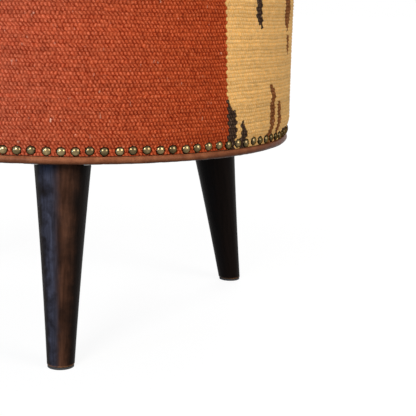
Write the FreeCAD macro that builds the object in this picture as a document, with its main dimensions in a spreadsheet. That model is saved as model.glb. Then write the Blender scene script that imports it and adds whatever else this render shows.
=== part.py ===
"""Round footstool covered in flat-woven kilim, on three splayed legs.

Millimetres. +Z is up, the floor is z = 0 and the drum's axis is the Z axis.
One leg points to the front, along -Y; azimuths are counted from there towards +X.
"""
import FreeCAD, Part
import os
import Sketcher

LEG_NAMES = ("front", "right", "left")
POST_COUNT = 6
POST_START = 30
NAIL_COUNT = 112
NAIL_SIDES = 8
PIN_SIDES = 4
PLATE_CORNERS = ((-1, -1), (1, -1), (1, 1), (-1, 1))

SIZES = (
    # rubber foot pads, each with a pin that goes up into the leg
    ("glide_height", 2.2),
    ("glide_radius", 12.8),
    ("glide_pin_radius", 1.5),
    ("glide_pin_length", 14.0),
    # turned legs: a long taper, hollowed a little at half height by leg_waist;
    # they are turned with some spare wood below, and the foot is cut level with the floor
    ("leg_length", 192.4),
    ("leg_top_radius", 27.25),
    ("leg_foot_radius", 13.3),
    ("leg_foot_spare", 4.0),
    ("leg_waist", 0.7),
    ("leg_top_round", 2.0),
    ("leg_foot_chamfer", 0.8),
    ("leg_splay", 9.83),
    ("leg_inset", 46.24),
    # hanger bolts along the legs, and the angled steel plates that they screw into
    ("bolt_radius", 4.0),
    ("bolt_length", 70.0),
    ("bolt_in_leg", 45.0),
    ("bolt_play", 1.0),
    ("thread_gap", 0.05),
    ("plate_width", 64.0),
    ("plate_corner", 9.0),
    ("plate_thickness", 2.5),
    ("boss_radius", 17.0),
    ("boss_height", 5.4),
    ("plate_screw_margin", 8.0),
    ("plate_screw_length", 16.0),
    ("plate_screw_head", 2.4),
    # dust cloth under the base
    ("cloth_thickness", 0.8),
    ("cloth_margin", 4.0),
    # drum frame: base board, posts, deck board and a bent wall round them
    ("base_thickness", 18.0),
    ("frame_height", 142.5),
    ("deck_thickness", 12.0),
    ("deck_vent_radius", 20.0),
    ("wall_radius", 233.0),
    ("wall_thickness", 3.5),
    ("wall_joint", 1.0),
    ("post_width", 45.0),
    ("post_depth", 22.0),
    ("screw_radius", 2.0),
    ("screw_head_radius", 4.0),
    ("screw_head_height", 2.6),
    ("screw_bite", 30.0),
    # piping: a leather bead that stands out a little from its tail; the lower one is under
    # the wall's edge, with its tail up behind the hem
    ("rim_over_base", 1.7),
    ("piping_radius", 3.7),
    ("piping_set", 1.6),
    ("piping_leather", 1.2),
    ("piping_tail", 20.0),
    # covers and stuffing
    ("cover_thickness", 2.5),
    ("cover_swell", 2.6),
    ("swell_rise", 14.0),
    ("shoulder_rise", 24.0),
    ("shoulder_inset", 8.0),
    ("foam_edge", 33.0),
    ("seam_tail", 12.0),
    ("crown", 24.0),
    ("wadding_thickness", 3.0),
    # dome-headed cover nails in one row above the lower piping
    ("nail_rise", 8.9),
    ("nail_sink", 0.7),
    ("nail_head_radius", 4.65),
    ("nail_head_height", 3.0),
    ("nail_bulge_radius", 3.7),
    ("nail_bulge_height", 1.9),
    ("nail_crest_radius", 1.4),
    ("nail_pin_radius", 1.0),
    ("nail_pin_length", 13.0),
    ("nail_start_angle", 0.45),
    # play between pieces that lie against each other
    ("fit_gap", 0.2),
)

doc = FreeCAD.newDocument("footstool")
sheet = doc.addObject("Spreadsheet::Sheet", "Sizes")
for row, (alias, number) in enumerate(SIZES, start=1):
    sheet.set(f"A{row}", alias)
    sheet.set(f"B{row}", str(number))
    sheet.setAlias(f"B{row}", alias)
doc.recompute()

# Levels above the floor, from the foot pads upwards
LEG_TOP = "(Sizes.glide_height + Sizes.leg_length * cos(Sizes.leg_splay))"
PLATE_BOTTOM = f"({LEG_TOP} + Sizes.boss_height)"
PLATE_TOP = f"({PLATE_BOTTOM} + Sizes.plate_thickness)"
BASE_BOTTOM = f"({PLATE_TOP} + Sizes.cloth_thickness)"
BASE_TOP = f"({BASE_BOTTOM} + Sizes.base_thickness)"
RIM = f"({BASE_BOTTOM} + Sizes.rim_over_base)"
WALL_BOTTOM = f"({RIM} + Sizes.piping_radius + Sizes.fit_gap)"
NAIL_ROW = f"({RIM} + Sizes.nail_rise)"
HEM_TOP = f"({NAIL_ROW} + Sizes.nail_head_radius + Sizes.cover_thickness)"
DECK_TOP = f"({BASE_BOTTOM} + Sizes.frame_height)"
DECK_BOTTOM = f"({DECK_TOP} - Sizes.deck_thickness)"
SEAM = f"({DECK_TOP} + Sizes.foam_edge)"
SHOULDER = f"({SEAM} - Sizes.shoulder_rise)"

# Radii from the drum's axis, from the frame outwards
BOARD_RADIUS = "(Sizes.wall_radius - Sizes.wall_thickness - Sizes.fit_gap)"
POST_FACE = f"(sqrt({BOARD_RADIUS}^2 - (Sizes.post_width / 2)^2) - Sizes.fit_gap)"
POST_MIDDLE = f"({POST_FACE} - Sizes.post_depth / 2)"
TAIL_IN = "(Sizes.wall_radius + Sizes.fit_gap)"
PIPING_CIRCLE = f"({TAIL_IN} + Sizes.piping_leather)"
TAIL_OUT = f"({PIPING_CIRCLE} + Sizes.piping_leather)"
HEM_IN = f"({TAIL_OUT} + Sizes.fit_gap)"
HEM_OUT = f"({HEM_IN} + Sizes.cover_thickness)"
SIDE_OUT = f"({HEM_OUT} + Sizes.cover_swell)"
SIDE_IN = f"({SIDE_OUT} - Sizes.cover_thickness)"
SEAM_CIRCLE = f"({SIDE_OUT} - Sizes.shoulder_inset)"
CROWN_EDGE = f"({SEAM_CIRCLE} - Sizes.piping_radius - Sizes.fit_gap)"
LEG_CIRCLE = "(Sizes.wall_radius - Sizes.leg_inset)"
PLATE_CIRCLE = (
    f"({LEG_CIRCLE} - (Sizes.boss_height + Sizes.plate_thickness / 2) * tan(Sizes.leg_splay))"
)
FOOT_CIRCLE = f"({LEG_CIRCLE} + Sizes.leg_length * sin(Sizes.leg_splay))"
PLATE_SCREW_OFFSET = "(Sizes.plate_width / 2 - Sizes.plate_screw_margin)"
NAIL_SEAT = f"({HEM_OUT} - Sizes.nail_sink)"

# The crown is part of a ball: its radius, and its height above the edge halfway in
CROWN_BALL = f"(({CROWN_EDGE}^2 + Sizes.crown^2) / (2 * Sizes.crown))"
CROWN_HALF = f"(sqrt({CROWN_BALL}^2 - ({CROWN_EDGE} / 2)^2) - {CROWN_BALL} + Sizes.crown)"


def value(text):
    """The number that an expression on the sheet gives now."""
    return float(sheet.evalExpression(text))


def bind(item, **sizes):
    """Tie properties of an object to expressions on the sheet."""
    for name, text in sizes.items():
        item.setExpression(name, text)
    return item


def seat(item, azimuth="0", radius="0", height="0", tilt="0", across="0"):
    """Stand an object at an azimuth and radius, its own Z axis tilted in towards the drum's axis."""
    out_x = f"({radius}) * sin({azimuth}) + ({across}) * cos({azimuth})"
    out_y = f"({across}) * sin({azimuth}) - ({radius}) * cos({azimuth})"
    turn = f"rotation(vector(0; 0; 1); {azimuth}) * rotation(vector(1; 0; 0); -({tilt}))"
    item.setExpression("Placement", f"placement(vector({out_x}; {out_y}; {height}); {turn})")
    return item


def cylinder(name, radius, height):
    return bind(doc.addObject("Part::Cylinder", name), Radius=radius, Height=height)


def cone(name, bottom, top, height):
    item = doc.addObject("Part::Cone", name)
    return bind(item, Radius1=bottom, Radius2=top, Height=height)


def box(name, length, width, height):
    return bind(doc.addObject("Part::Box", name), Length=length, Width=width, Height=height)


def cut(name, base, tools):
    item = doc.addObject("Part::Cut", name)
    item.Base = base
    item.Tool = group(name + "_tools", tools)
    return item


def group(name, items):
    item = doc.addObject("Part::Compound", name)
    item.Links = items
    return item


def fuse(name, items):
    item = doc.addObject("Part::MultiFuse", name)
    item.Shapes = items
    return item


def common(name, first, second):
    item = doc.addObject("Part::Common", name)
    item.Base = first
    item.Tool = second
    return item


def origin_plane(body, role):
    return next(item for item in body.Origin.OriginFeatures if item.Role == role)


def hold_point(sketch, geometry, end, across, up, name):
    """Fix a sketch point at a radius and a height; a point on the axis is held to the axis."""
    if value(across) == 0:
        sketch.addConstraint(Sketcher.Constraint("PointOnObject", geometry, end, -2))
    else:
        rule = Sketcher.Constraint("DistanceX", -1, 1, geometry, end, value(across))
        sketch.renameConstraint(sketch.addConstraint(rule), name + "_across")
        sketch.setExpression(f"Constraints.{name}_across", across)
    if value(up) == 0:
        sketch.addConstraint(Sketcher.Constraint("PointOnObject", geometry, end, -1))
    else:
        rule = Sketcher.Constraint("DistanceY", -1, 1, geometry, end, value(up))
        sketch.renameConstraint(sketch.addConstraint(rule), name + "_up")
        sketch.setExpression(f"Constraints.{name}_up", up)


def turned(name, outline):
    """A body turned about its own Z axis from a half section.

    The outline is a list of (radius, height) corners. A third entry, (radius, height) again,
    is a point that the way to the next corner passes on an arc.
    """
    body = doc.addObject("PartDesign::Body", name)
    sketch = body.newObject("Sketcher::SketchObject", name + "_section")
    sketch.AttachmentSupport = [(origin_plane(body, "XZ_Plane"), "")]
    sketch.MapMode = "FlatFace"
    spots = [FreeCAD.Vector(value(c[0]), value(c[1]), 0) for c in outline]
    starts = []
    ends = []
    for index, corner in enumerate(outline):
        here = spots[index]
        there = spots[(index + 1) % len(spots)]
        if len(corner) == 2:
            edge = sketch.addGeometry(Part.LineSegment(here, there))
            starts.append((edge, 1))
            ends.append((edge, 2))
            continue
        passing = FreeCAD.Vector(value(corner[2][0]), value(corner[2][1]), 0)
        edge = sketch.addGeometry(Part.Arc(here, passing, there))
        forward = sketch.getPoint(edge, 1).distanceToPoint(here) < 1e-6
        starts.append((edge, 1 if forward else 2))
        ends.append((edge, 2 if forward else 1))
    for index, (edge, end) in enumerate(ends):
        follower, start = starts[(index + 1) % len(starts)]
        sketch.addConstraint(Sketcher.Constraint("Coincident", edge, end, follower, start))
    for index, corner in enumerate(outline):
        edge, start = starts[index]
        hold_point(sketch, edge, start, corner[0], corner[1], f"corner{index}")
        if len(corner) == 3:
            passing = FreeCAD.Vector(value(corner[2][0]), value(corner[2][1]), 0)
            mark = sketch.addGeometry(Part.Point(passing), True)
            hold_point(sketch, mark, 1, corner[2][0], corner[2][1], f"pass{index}")
            sketch.addConstraint(Sketcher.Constraint("PointOnObject", mark, 1, edge))
    turn = body.newObject("PartDesign::Revolution", name + "_turn")
    turn.Profile = sketch
    turn.ReferenceAxis = (sketch, ["V_Axis"])
    turn.Angle = 360
    return body


def copies(name, master, places):
    """Separate solids of one shape, each at its own place."""
    doc.recompute()
    item = doc.addObject("Part::Feature", name)
    solids = []
    for place in places:
        solid = master.Shape.copy()
        solid.Placement = place.multiply(solid.Placement)
        solids.append(solid)
    item.Shape = Part.makeCompound(solids)
    return item


def level_place(azimuth, radius, height, upside_down=False):
    """A place on a level circle, for copies whose own Z axis points up or down."""
    turn = FreeCAD.Rotation(FreeCAD.Vector(0, 0, 1), azimuth)
    spot = turn.multVec(FreeCAD.Vector(0, -radius, height))
    if upside_down:
        turn = turn.multiply(FreeCAD.Rotation(FreeCAD.Vector(1, 0, 0), 180))
    return FreeCAD.Placement(spot, turn)


def leg_azimuths():
    return [(name, index * 360 / len(LEG_NAMES)) for index, name in enumerate(LEG_NAMES)]


def post_azimuths():
    return [POST_START + index * 360 / POST_COUNT for index in range(POST_COUNT)]


def along_leg(item, azimuth, above_top):
    """Lay an object along a leg's axis, starting a distance above the leg's top."""
    slide = f"({above_top})"
    radius = f"({LEG_CIRCLE} - {slide} * sin(Sizes.leg_splay))"
    height = f"({LEG_TOP} + {slide} * cos(Sizes.leg_splay))"
    return seat(item, str(azimuth), radius, height, "Sizes.leg_splay")


def make_leg(name, azimuth):
    """A turned leg with a bore for its bolt; the foot is cut level and drilled for the pad's pin."""
    taper = "((Sizes.leg_top_radius - Sizes.leg_foot_radius) / Sizes.leg_length)"
    spare_radius = f"(Sizes.leg_foot_radius - Sizes.leg_foot_spare * {taper})"
    waist = "((Sizes.leg_top_radius + Sizes.leg_foot_radius) / 2 - Sizes.leg_waist)"
    half_way = "(Sizes.leg_foot_spare + Sizes.leg_length / 2)"
    leg_end = "(Sizes.leg_foot_spare + Sizes.leg_length)"
    bore = "(Sizes.bolt_radius + Sizes.thread_gap)"
    bore_end = f"({leg_end} - Sizes.bolt_in_leg)"
    rounding = "(Sizes.leg_top_round * (1 - cos(45)))"
    outline = [
        ("0", "0"),
        (spare_radius, "0"),
        ("Sizes.leg_foot_radius", "Sizes.leg_foot_spare", (waist, half_way)),
        (
            "Sizes.leg_top_radius",
            f"{leg_end} - Sizes.leg_top_round",
            (f"Sizes.leg_top_radius - {rounding}", f"{leg_end} - {rounding}"),
        ),
        ("Sizes.leg_top_radius - Sizes.leg_top_round", leg_end),
        (bore, leg_end),
        (bore, bore_end),
        ("0", bore_end),
    ]
    blank = turned(f"leg_{name}_blank", outline)
    along_leg(blank, azimuth, "-Sizes.leg_length - Sizes.leg_foot_spare")
    # a cone that opens upwards at 45 degrees cuts the foot level and eases its edge
    foot_face = "(Sizes.leg_foot_radius - Sizes.leg_foot_chamfer)"
    cone_height = "(Sizes.leg_length + Sizes.leg_top_radius)"
    room = cone(f"leg_{name}_room", foot_face, f"{foot_face} + {cone_height}", cone_height)
    seat(room, str(azimuth), FOOT_CIRCLE, "Sizes.glide_height")
    level = common(f"leg_{name}_level", blank, room)
    pin_hole = cylinder(
        f"leg_{name}_pin_hole",
        "Sizes.glide_pin_radius + Sizes.thread_gap",
        "Sizes.glide_height + Sizes.glide_pin_length",
    )
    seat(pin_hole, str(azimuth), FOOT_CIRCLE)
    return cut(f"leg_{name}", level, [pin_hole])


def make_glide(name, azimuth):
    """A flat pad under the level foot, with its pin up in the leg."""
    pad = cylinder(f"glide_{name}_pad", "Sizes.glide_radius", "Sizes.glide_height")
    seat(pad, str(azimuth), FOOT_CIRCLE)
    pin = cylinder(f"glide_{name}_pin", "Sizes.glide_pin_radius", "Sizes.glide_pin_length")
    seat(pin, str(azimuth), FOOT_CIRCLE, "Sizes.glide_height")
    return fuse(f"foot_glide_{name}", [pad, pin])


def make_bolt(name, azimuth):
    bolt = cylinder(f"hanger_bolt_{name}", "Sizes.bolt_radius", "Sizes.bolt_length")
    return along_leg(bolt, azimuth, "-Sizes.bolt_in_leg")


def bolt_hole(name, azimuth, radius):
    hole = cylinder(name, radius, "Sizes.bolt_length * 2")
    return along_leg(hole, azimuth, "-Sizes.bolt_in_leg")


def make_plate(name, azimuth):
    """A steel plate under the base, with a boss that leans with the leg and takes its bolt."""
    half = "(Sizes.plate_width / 2)"
    flange = box(f"plate_{name}_flange", "Sizes.plate_width", "Sizes.plate_width", "Sizes.plate_thickness")
    seat(flange, str(azimuth), f"{PLATE_CIRCLE} + {half}", PLATE_BOTTOM, "0", f"-{half}")
    doc.recompute()
    rounded = doc.addObject("Part::Fillet", f"plate_{name}_rounded")
    rounded.Base = flange
    corner = value("Sizes.plate_corner")
    upright = [
        (number, corner, corner)
        for number, edge in enumerate(flange.Shape.Edges, start=1)
        if abs(edge.tangentAt(edge.FirstParameter).z) > 0.5
    ]
    rounded.Edges = upright
    rise = "(Sizes.boss_height * 2 + Sizes.boss_radius)"
    boss = cylinder(f"plate_{name}_boss", "Sizes.boss_radius", rise)
    along_leg(boss, azimuth, "0")
    room = box(f"plate_{name}_room", f"4 * {half}", f"4 * {half}", PLATE_TOP)
    seat(room, str(azimuth), f"{PLATE_CIRCLE} + 2 * {half}", "0", "0", f"-2 * {half}")
    short_boss = common(f"plate_{name}_short_boss", boss, room)
    plate = fuse(f"plate_{name}_blank", [rounded, short_boss])
    holes = [bolt_hole(f"plate_{name}_thread", azimuth, "Sizes.bolt_radius + Sizes.thread_gap")]
    for index, (side, out) in enumerate(PLATE_CORNERS):
        hole = cylinder(f"plate_{name}_hole{index}", "Sizes.screw_radius + Sizes.fit_gap", f"{BASE_TOP}")
        shift = f"{PLATE_CIRCLE} + {out} * {PLATE_SCREW_OFFSET}"
        seat(hole, str(azimuth), shift, "0", "0", f"{side} * {PLATE_SCREW_OFFSET}")
        holes.append(hole)
    return cut(f"leg_plate_{name}", plate, holes)


def plate_screw_places():
    places = []
    offset = value(PLATE_SCREW_OFFSET)
    circle = value(PLATE_CIRCLE)
    for _, azimuth in leg_azimuths():
        turn = FreeCAD.Rotation(FreeCAD.Vector(0, 0, 1), azimuth)
        for side, out in PLATE_CORNERS:
            spot = FreeCAD.Vector(side * offset, -circle - out * offset, value(PLATE_BOTTOM))
            places.append(FreeCAD.Placement(turn.multVec(spot), turn))
    return places


def make_plate_screws():
    """Pan-head screws, four to a plate, up through the cloth into the base board."""
    head = cylinder("plate_screw_head", "Sizes.screw_head_radius", "Sizes.plate_screw_head")
    head.setExpression("Placement.Base.z", "-Sizes.plate_screw_head")
    shank = cylinder("plate_screw_shank", "Sizes.screw_radius", "Sizes.plate_screw_length")
    screw = fuse("plate_screw", [head, shank])
    return copies("plate_screws", screw, plate_screw_places())


def make_plate_screw_holes(name):
    hole = cylinder(name + "_hole", "Sizes.screw_radius + Sizes.fit_gap", "Sizes.plate_screw_length")
    return copies(name, hole, plate_screw_places())


def post_screw(name, gap):
    """A countersunk screw, or with a gap the hole for one; its head's face is at z = 0."""
    head = cone(
        name + "_head",
        f"Sizes.screw_head_radius + {gap}",
        f"Sizes.screw_radius + {gap}",
        "Sizes.screw_head_height",
    )
    long_shank = f"Sizes.base_thickness + Sizes.screw_bite + {gap}"
    shank = cylinder(name + "_shank", f"Sizes.screw_radius + {gap}", long_shank)
    return fuse(name, [head, shank])


def lower_screw_places():
    circle = value(POST_MIDDLE)
    return [level_place(azimuth, circle, value(BASE_BOTTOM)) for azimuth in post_azimuths()]


def upper_screw_places():
    circle = value(POST_MIDDLE)
    return [level_place(azimuth, circle, value(DECK_TOP), True) for azimuth in post_azimuths()]


def make_base_board(post_holes):
    board = cylinder("base_blank", BOARD_RADIUS, "Sizes.base_thickness")
    seat(board, height=BASE_BOTTOM)
    holes = [post_holes, make_plate_screw_holes("base_pilots")]
    for name, azimuth in leg_azimuths():
        holes.append(bolt_hole(f"base_bolt_{name}", azimuth, "Sizes.bolt_radius + Sizes.bolt_play"))
    return cut("base_board", board, holes)


def make_dust_cloth():
    cloth = cylinder("cloth_blank", f"{BOARD_RADIUS} - Sizes.cloth_margin", "Sizes.cloth_thickness")
    seat(cloth, height=PLATE_TOP)
    holes = [make_plate_screw_holes("cloth_pilots")]
    for name, azimuth in leg_azimuths():
        holes.append(bolt_hole(f"cloth_bolt_{name}", azimuth, "Sizes.bolt_radius + Sizes.bolt_play"))
    return cut("dust_cloth", cloth, holes)


def make_deck_board(post_holes):
    board = cylinder("deck_blank", BOARD_RADIUS, "Sizes.deck_thickness")
    seat(board, height=DECK_BOTTOM)
    vent = cylinder("deck_vent", "Sizes.deck_vent_radius", DECK_TOP + " * 2")
    return cut("deck_board", board, [post_holes, vent])


def make_post(number, azimuth, lower_holes, upper_holes):
    blank = box(f"post_{number}_blank", "Sizes.post_width", "Sizes.post_depth", f"{DECK_BOTTOM} - {BASE_TOP}")
    seat(blank, str(azimuth), POST_FACE, BASE_TOP, "0", "-Sizes.post_width / 2")
    return cut(f"post_{number}", blank, [lower_holes, upper_holes])


def make_wall():
    """Thin board bent round the frame, with its butt joint at the back."""
    outer = cylinder("wall_outer", "Sizes.wall_radius", f"{DECK_TOP} - {WALL_BOTTOM}")
    seat(outer, height=WALL_BOTTOM)
    inner = cylinder("wall_inner", "Sizes.wall_radius - Sizes.wall_thickness", DECK_TOP + " * 2")
    slit = box("wall_slit", "Sizes.wall_joint", "Sizes.wall_radius * 2", DECK_TOP + " * 2")
    seat(slit, "180", "Sizes.wall_radius * 2", "0", "0", "-Sizes.wall_joint / 2")
    return cut("side_wall", outer, [inner, slit])


def make_lower_piping():
    """Leather round a cord; the bead sits under the wall and the tail lies against it."""
    bead = f"({PIPING_CIRCLE} + Sizes.piping_set)"
    outer_join = "(sqrt(Sizes.piping_radius^2 - (Sizes.piping_set - Sizes.piping_leather)^2))"
    inner_join = "(sqrt(Sizes.piping_radius^2 - (Sizes.piping_set + Sizes.piping_leather)^2))"
    tail_top = f"{RIM} + Sizes.piping_tail"
    outline = [
        (TAIL_IN, tail_top),
        (TAIL_OUT, tail_top),
        (TAIL_OUT, f"{RIM} + {outer_join}", (bead, f"{RIM} - Sizes.piping_radius")),
        (TAIL_IN, f"{RIM} + {inner_join}"),
    ]
    return turned("lower_piping", outline)


def make_seam_piping():
    """The same piping in the seam of the top; its tail lies on the crowned wadding, under the cover."""
    join = f"{SEAM_CIRCLE} - (sqrt(Sizes.piping_radius^2 - Sizes.piping_leather^2))"
    tail_end = f"({CROWN_EDGE} - Sizes.seam_tail)"
    tail_rise = f"(sqrt({CROWN_BALL}^2 - {tail_end}^2) - {CROWN_BALL} + Sizes.crown)"
    outline = [
        (tail_end, f"{SEAM} + {tail_rise} - Sizes.piping_leather"),
        (
            join,
            f"{SEAM} - Sizes.piping_leather",
            (f"{SEAM_CIRCLE} + Sizes.piping_radius", SEAM),
        ),
        (join, f"{SEAM} + Sizes.piping_leather"),
        (tail_end, f"{SEAM} + {tail_rise} + Sizes.piping_leather"),
    ]
    return turned("seam_piping", outline)


def make_side_cover():
    """The kilim band: nailed hem, a swell above it, and a shoulder that turns in to the seam."""
    inset = "(Sizes.shoulder_inset - Sizes.cover_thickness / 2)"
    rise = "(Sizes.shoulder_rise - Sizes.piping_radius - Sizes.fit_gap)"
    bend = f"(({inset}^2 + {rise}^2) / (2 * {inset}))"
    half_turn = f"(asin({rise} / {bend}) / 2)"
    pass_in = f"({bend} * (1 - cos({half_turn})))"
    pass_up = f"({SHOULDER} + {bend} * sin({half_turn}))"
    cover_end = f"({SHOULDER} + {rise})"
    swell_top = f"({HEM_TOP} + Sizes.swell_rise)"
    outline = [
        (HEM_IN, f"{WALL_BOTTOM}"),
        (HEM_OUT, f"{WALL_BOTTOM}"),
        (HEM_OUT, HEM_TOP),
        (SIDE_OUT, swell_top),
        (SIDE_OUT, SHOULDER, (f"{SIDE_OUT} - {pass_in}", pass_up)),
        (f"{SIDE_OUT} - {inset}", cover_end),
        (
            f"{SIDE_IN} - {inset}",
            cover_end,
            (f"{SIDE_IN} - {pass_in}", pass_up),
        ),
        (SIDE_IN, SHOULDER),
        (SIDE_IN, swell_top),
        (HEM_IN, HEM_TOP),
    ]
    return turned("side_cover", outline)


def crowned(name, underside, upside):
    """A layer of the seat, from one crowned face to another, each given by its height at the edge."""
    half = f"{CROWN_EDGE} / 2"
    outline = [
        ("0", f"{underside} + Sizes.crown", (half, f"{underside} + {CROWN_HALF}")),
        (CROWN_EDGE, underside),
        (CROWN_EDGE, upside, (half, f"{upside} + {CROWN_HALF}")),
        ("0", f"{upside} + Sizes.crown"),
    ]
    return turned(name, outline)


def make_top_cover():
    underside = f"({SEAM} + Sizes.piping_leather + Sizes.fit_gap)"
    return crowned("top_cover", underside, f"({underside} + Sizes.cover_thickness)")


WADDING_TOP = f"({SEAM} - Sizes.piping_leather - Sizes.fit_gap)"
WADDING_BOTTOM = f"({WADDING_TOP} - Sizes.wadding_thickness)"


def make_seat_wadding():
    return crowned("seat_wadding", WADDING_BOTTOM, WADDING_TOP)


def make_seat_foam():
    foam_top = f"({WADDING_BOTTOM} - Sizes.fit_gap)"
    outline = [
        ("0", DECK_TOP),
        ("Sizes.wall_radius", DECK_TOP),
        ("Sizes.wall_radius", SHOULDER),
        (CROWN_EDGE, foam_top, (f"{CROWN_EDGE} / 2", f"{foam_top} + {CROWN_HALF}")),
        ("0", f"{foam_top} + Sizes.crown"),
    ]
    return turned("seat_foam", outline)


def make_side_wadding():
    """A soft lining between the wall and the side cover, from the piping's tail to the shoulder."""
    inner = "(Sizes.wall_radius + Sizes.fit_gap)"
    outer = f"({SIDE_IN} - Sizes.fit_gap)"
    bottom = f"({HEM_TOP} + Sizes.swell_rise)"
    outline = [
        (inner, bottom),
        (outer, bottom),
        (outer, SHOULDER),
        (inner, SHOULDER),
    ]
    return turned("side_wadding", outline)


def polygon(name, sides, radius, height):
    item = bind(doc.addObject("Part::RegularPolygon", name), Circumradius=radius)
    item.Polygon = sides
    item.setExpression("Placement.Base.z", height)
    return item


def make_cover_nails():
    """Domed brass nails through the hem and the piping's tail into the base board's edge."""
    rings = [
        polygon("nail_brim", NAIL_SIDES, "Sizes.nail_head_radius", "0"),
        polygon("nail_bulge", NAIL_SIDES, "Sizes.nail_bulge_radius", "Sizes.nail_bulge_height"),
        polygon("nail_top", NAIL_SIDES, "Sizes.nail_crest_radius", "Sizes.nail_head_height"),
    ]
    dome = doc.addObject("Part::Loft", "nail_dome")
    dome.Sections = rings
    dome.Solid = True
    dome.Ruled = True
    pin = bind(
        doc.addObject("Part::Prism", "nail_pin"),
        Circumradius="Sizes.nail_pin_radius",
        Height="Sizes.nail_pin_length",
    )
    pin.Polygon = PIN_SIDES
    pin.setExpression("Placement.Base.z", "-Sizes.nail_pin_length")
    nail = fuse("nail", [dome, pin])
    places = []
    outward = FreeCAD.Vector(0, -1, 0)
    stand = FreeCAD.Rotation(FreeCAD.Vector(0, 0, 1), outward)
    for index in range(NAIL_COUNT):
        azimuth = value("Sizes.nail_start_angle") + index * 360 / NAIL_COUNT
        turn = FreeCAD.Rotation(FreeCAD.Vector(0, 0, 1), azimuth)
        spot = turn.multVec(outward * value(NAIL_SEAT)) + FreeCAD.Vector(0, 0, value(NAIL_ROW))
        places.append(FreeCAD.Placement(spot, turn.multiply(stand)))
    return copies("cover_nails", nail, places)


def build():
    parts = []
    lower_holes = copies("lower_post_holes", post_screw("post_hole", "Sizes.fit_gap"), lower_screw_places())
    upper_holes = copies("upper_post_holes", doc.getObject("post_hole"), upper_screw_places())
    parts.append(make_base_board(lower_holes))
    parts.append(make_deck_board(upper_holes))
    for number, azimuth in enumerate(post_azimuths(), start=1):
        parts.append(make_post(number, azimuth, lower_holes, upper_holes))
    screw = post_screw("post_screw", "0")
    parts.append(copies("base_screws", screw, lower_screw_places()))
    parts.append(copies("deck_screws", screw, upper_screw_places()))
    parts.append(make_wall())
    parts.append(make_dust_cloth())
    for name, azimuth in leg_azimuths():
        parts.append(make_leg(name, azimuth))
        parts.append(make_glide(name, azimuth))
        parts.append(make_bolt(name, azimuth))
        parts.append(make_plate(name, azimuth))
    parts.append(make_plate_screws())
    parts.append(make_lower_piping())
    parts.append(make_seam_piping())
    parts.append(make_side_cover())
    parts.append(make_side_wadding())
    parts.append(make_seat_foam())
    parts.append(make_seat_wadding())
    parts.append(make_top_cover())
    parts.append(make_cover_nails())
    doc.recompute()
    return parts


def check(parts):
    failed = [
        item.Name for item in doc.Objects if "Invalid" in item.State or "Error" in item.State
    ]
    if failed:
        raise RuntimeError(f"failed objects: {failed}")
    for part in parts:
        if part.Shape.isNull() or not part.Shape.isValid() or not part.Shape.Solids:
            raise RuntimeError(f"{part.Label} has no valid solid")


def write(parts):
    os.makedirs("parts", exist_ok=True)
    for part in parts:
        part.Shape.exportStep(f"parts/{part.Label}.step")
        solids = part.Shape.Solids
        print(f"{part.Label}: {len(solids)} solid(s), {sum(s.Volume for s in solids) / 1000:.1f} cm3")


PARTS = build()
check(PARTS)
write(PARTS)
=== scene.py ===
# %% [markdown]
# # A round kilim footstool
#
# The stool is a drum covered in flat-woven kilim, trimmed with leather piping and a row of dome nails,
# on three turned legs. The construction is already in the frame at its real size, so this lesson adds
# the looks: woven cloth, leather, old brass and stained wood. Every piece goes where the frame says.

# %% Load the frame
import math

import bmesh
import bpy
import numpy as np
from mathutils import Matrix, Vector, noise
from mathutils.bvhtree import BVHTree


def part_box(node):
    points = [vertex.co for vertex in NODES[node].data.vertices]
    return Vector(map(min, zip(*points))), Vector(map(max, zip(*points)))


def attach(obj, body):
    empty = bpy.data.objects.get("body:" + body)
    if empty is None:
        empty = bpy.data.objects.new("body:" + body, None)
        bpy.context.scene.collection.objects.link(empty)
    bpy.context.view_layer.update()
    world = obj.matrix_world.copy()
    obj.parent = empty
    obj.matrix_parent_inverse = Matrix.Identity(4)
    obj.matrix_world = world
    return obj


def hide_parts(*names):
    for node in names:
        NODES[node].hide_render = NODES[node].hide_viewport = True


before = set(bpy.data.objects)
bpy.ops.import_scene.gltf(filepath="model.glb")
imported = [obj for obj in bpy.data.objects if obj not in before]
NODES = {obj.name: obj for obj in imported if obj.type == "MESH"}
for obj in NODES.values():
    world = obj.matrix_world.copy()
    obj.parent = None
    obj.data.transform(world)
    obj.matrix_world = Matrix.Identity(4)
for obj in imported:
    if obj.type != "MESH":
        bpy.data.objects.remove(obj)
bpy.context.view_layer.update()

BODY = "root"
MM = 0.001

# %% [markdown]
# ## Sizes
#
# A drum is described by a few circles and levels. They are read from the frame's nodes, so the cloth,
# the piping and the nails meet the same edges that the solids have. Only thicknesses and small rises
# that a node's box can't tell are written here.

# %% Circles and levels of the drum
PIPING_RADIUS = 3.7 * MM
NAIL_HEIGHT = 3.0 * MM
NAIL_SINK = 0.7 * MM
HEM_ABOVE_NAILS = 7.15 * MM
SWELL_RISE = 14.0 * MM
SHOULDER_RISE = 24.0 * MM
COVER_THICKNESS = 2.5 * MM

side_low, side_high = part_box("side_cover")
nails_low, nails_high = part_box("cover_nails")
rim_low, rim_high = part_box("lower_piping")
seam_low, seam_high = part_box("seam_piping")
top_low, top_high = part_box("top_cover")

SIDE_RADIUS = side_high.x
HEM_RADIUS = nails_high.x - NAIL_HEIGHT + NAIL_SINK
RIM = rim_low.z + PIPING_RADIUS
RIM_CIRCLE = rim_high.x - PIPING_RADIUS
NAIL_ROW = (nails_low.z + nails_high.z) / 2
HEM_TOP = NAIL_ROW + HEM_ABOVE_NAILS
SEAM = seam_low.z + PIPING_RADIUS
SEAM_CIRCLE = seam_high.x - PIPING_RADIUS
SHOULDER = SEAM - SHOULDER_RISE
TOP_RADIUS = top_high.x
CROWN_EDGE = top_low.z + COVER_THICKNESS
CROWN = top_high.z - CROWN_EDGE
print(f"drum {SIDE_RADIUS:.4f} m, rim {RIM:.4f} m, seam {SEAM:.4f} m, crown {CROWN:.4f} m")

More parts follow.
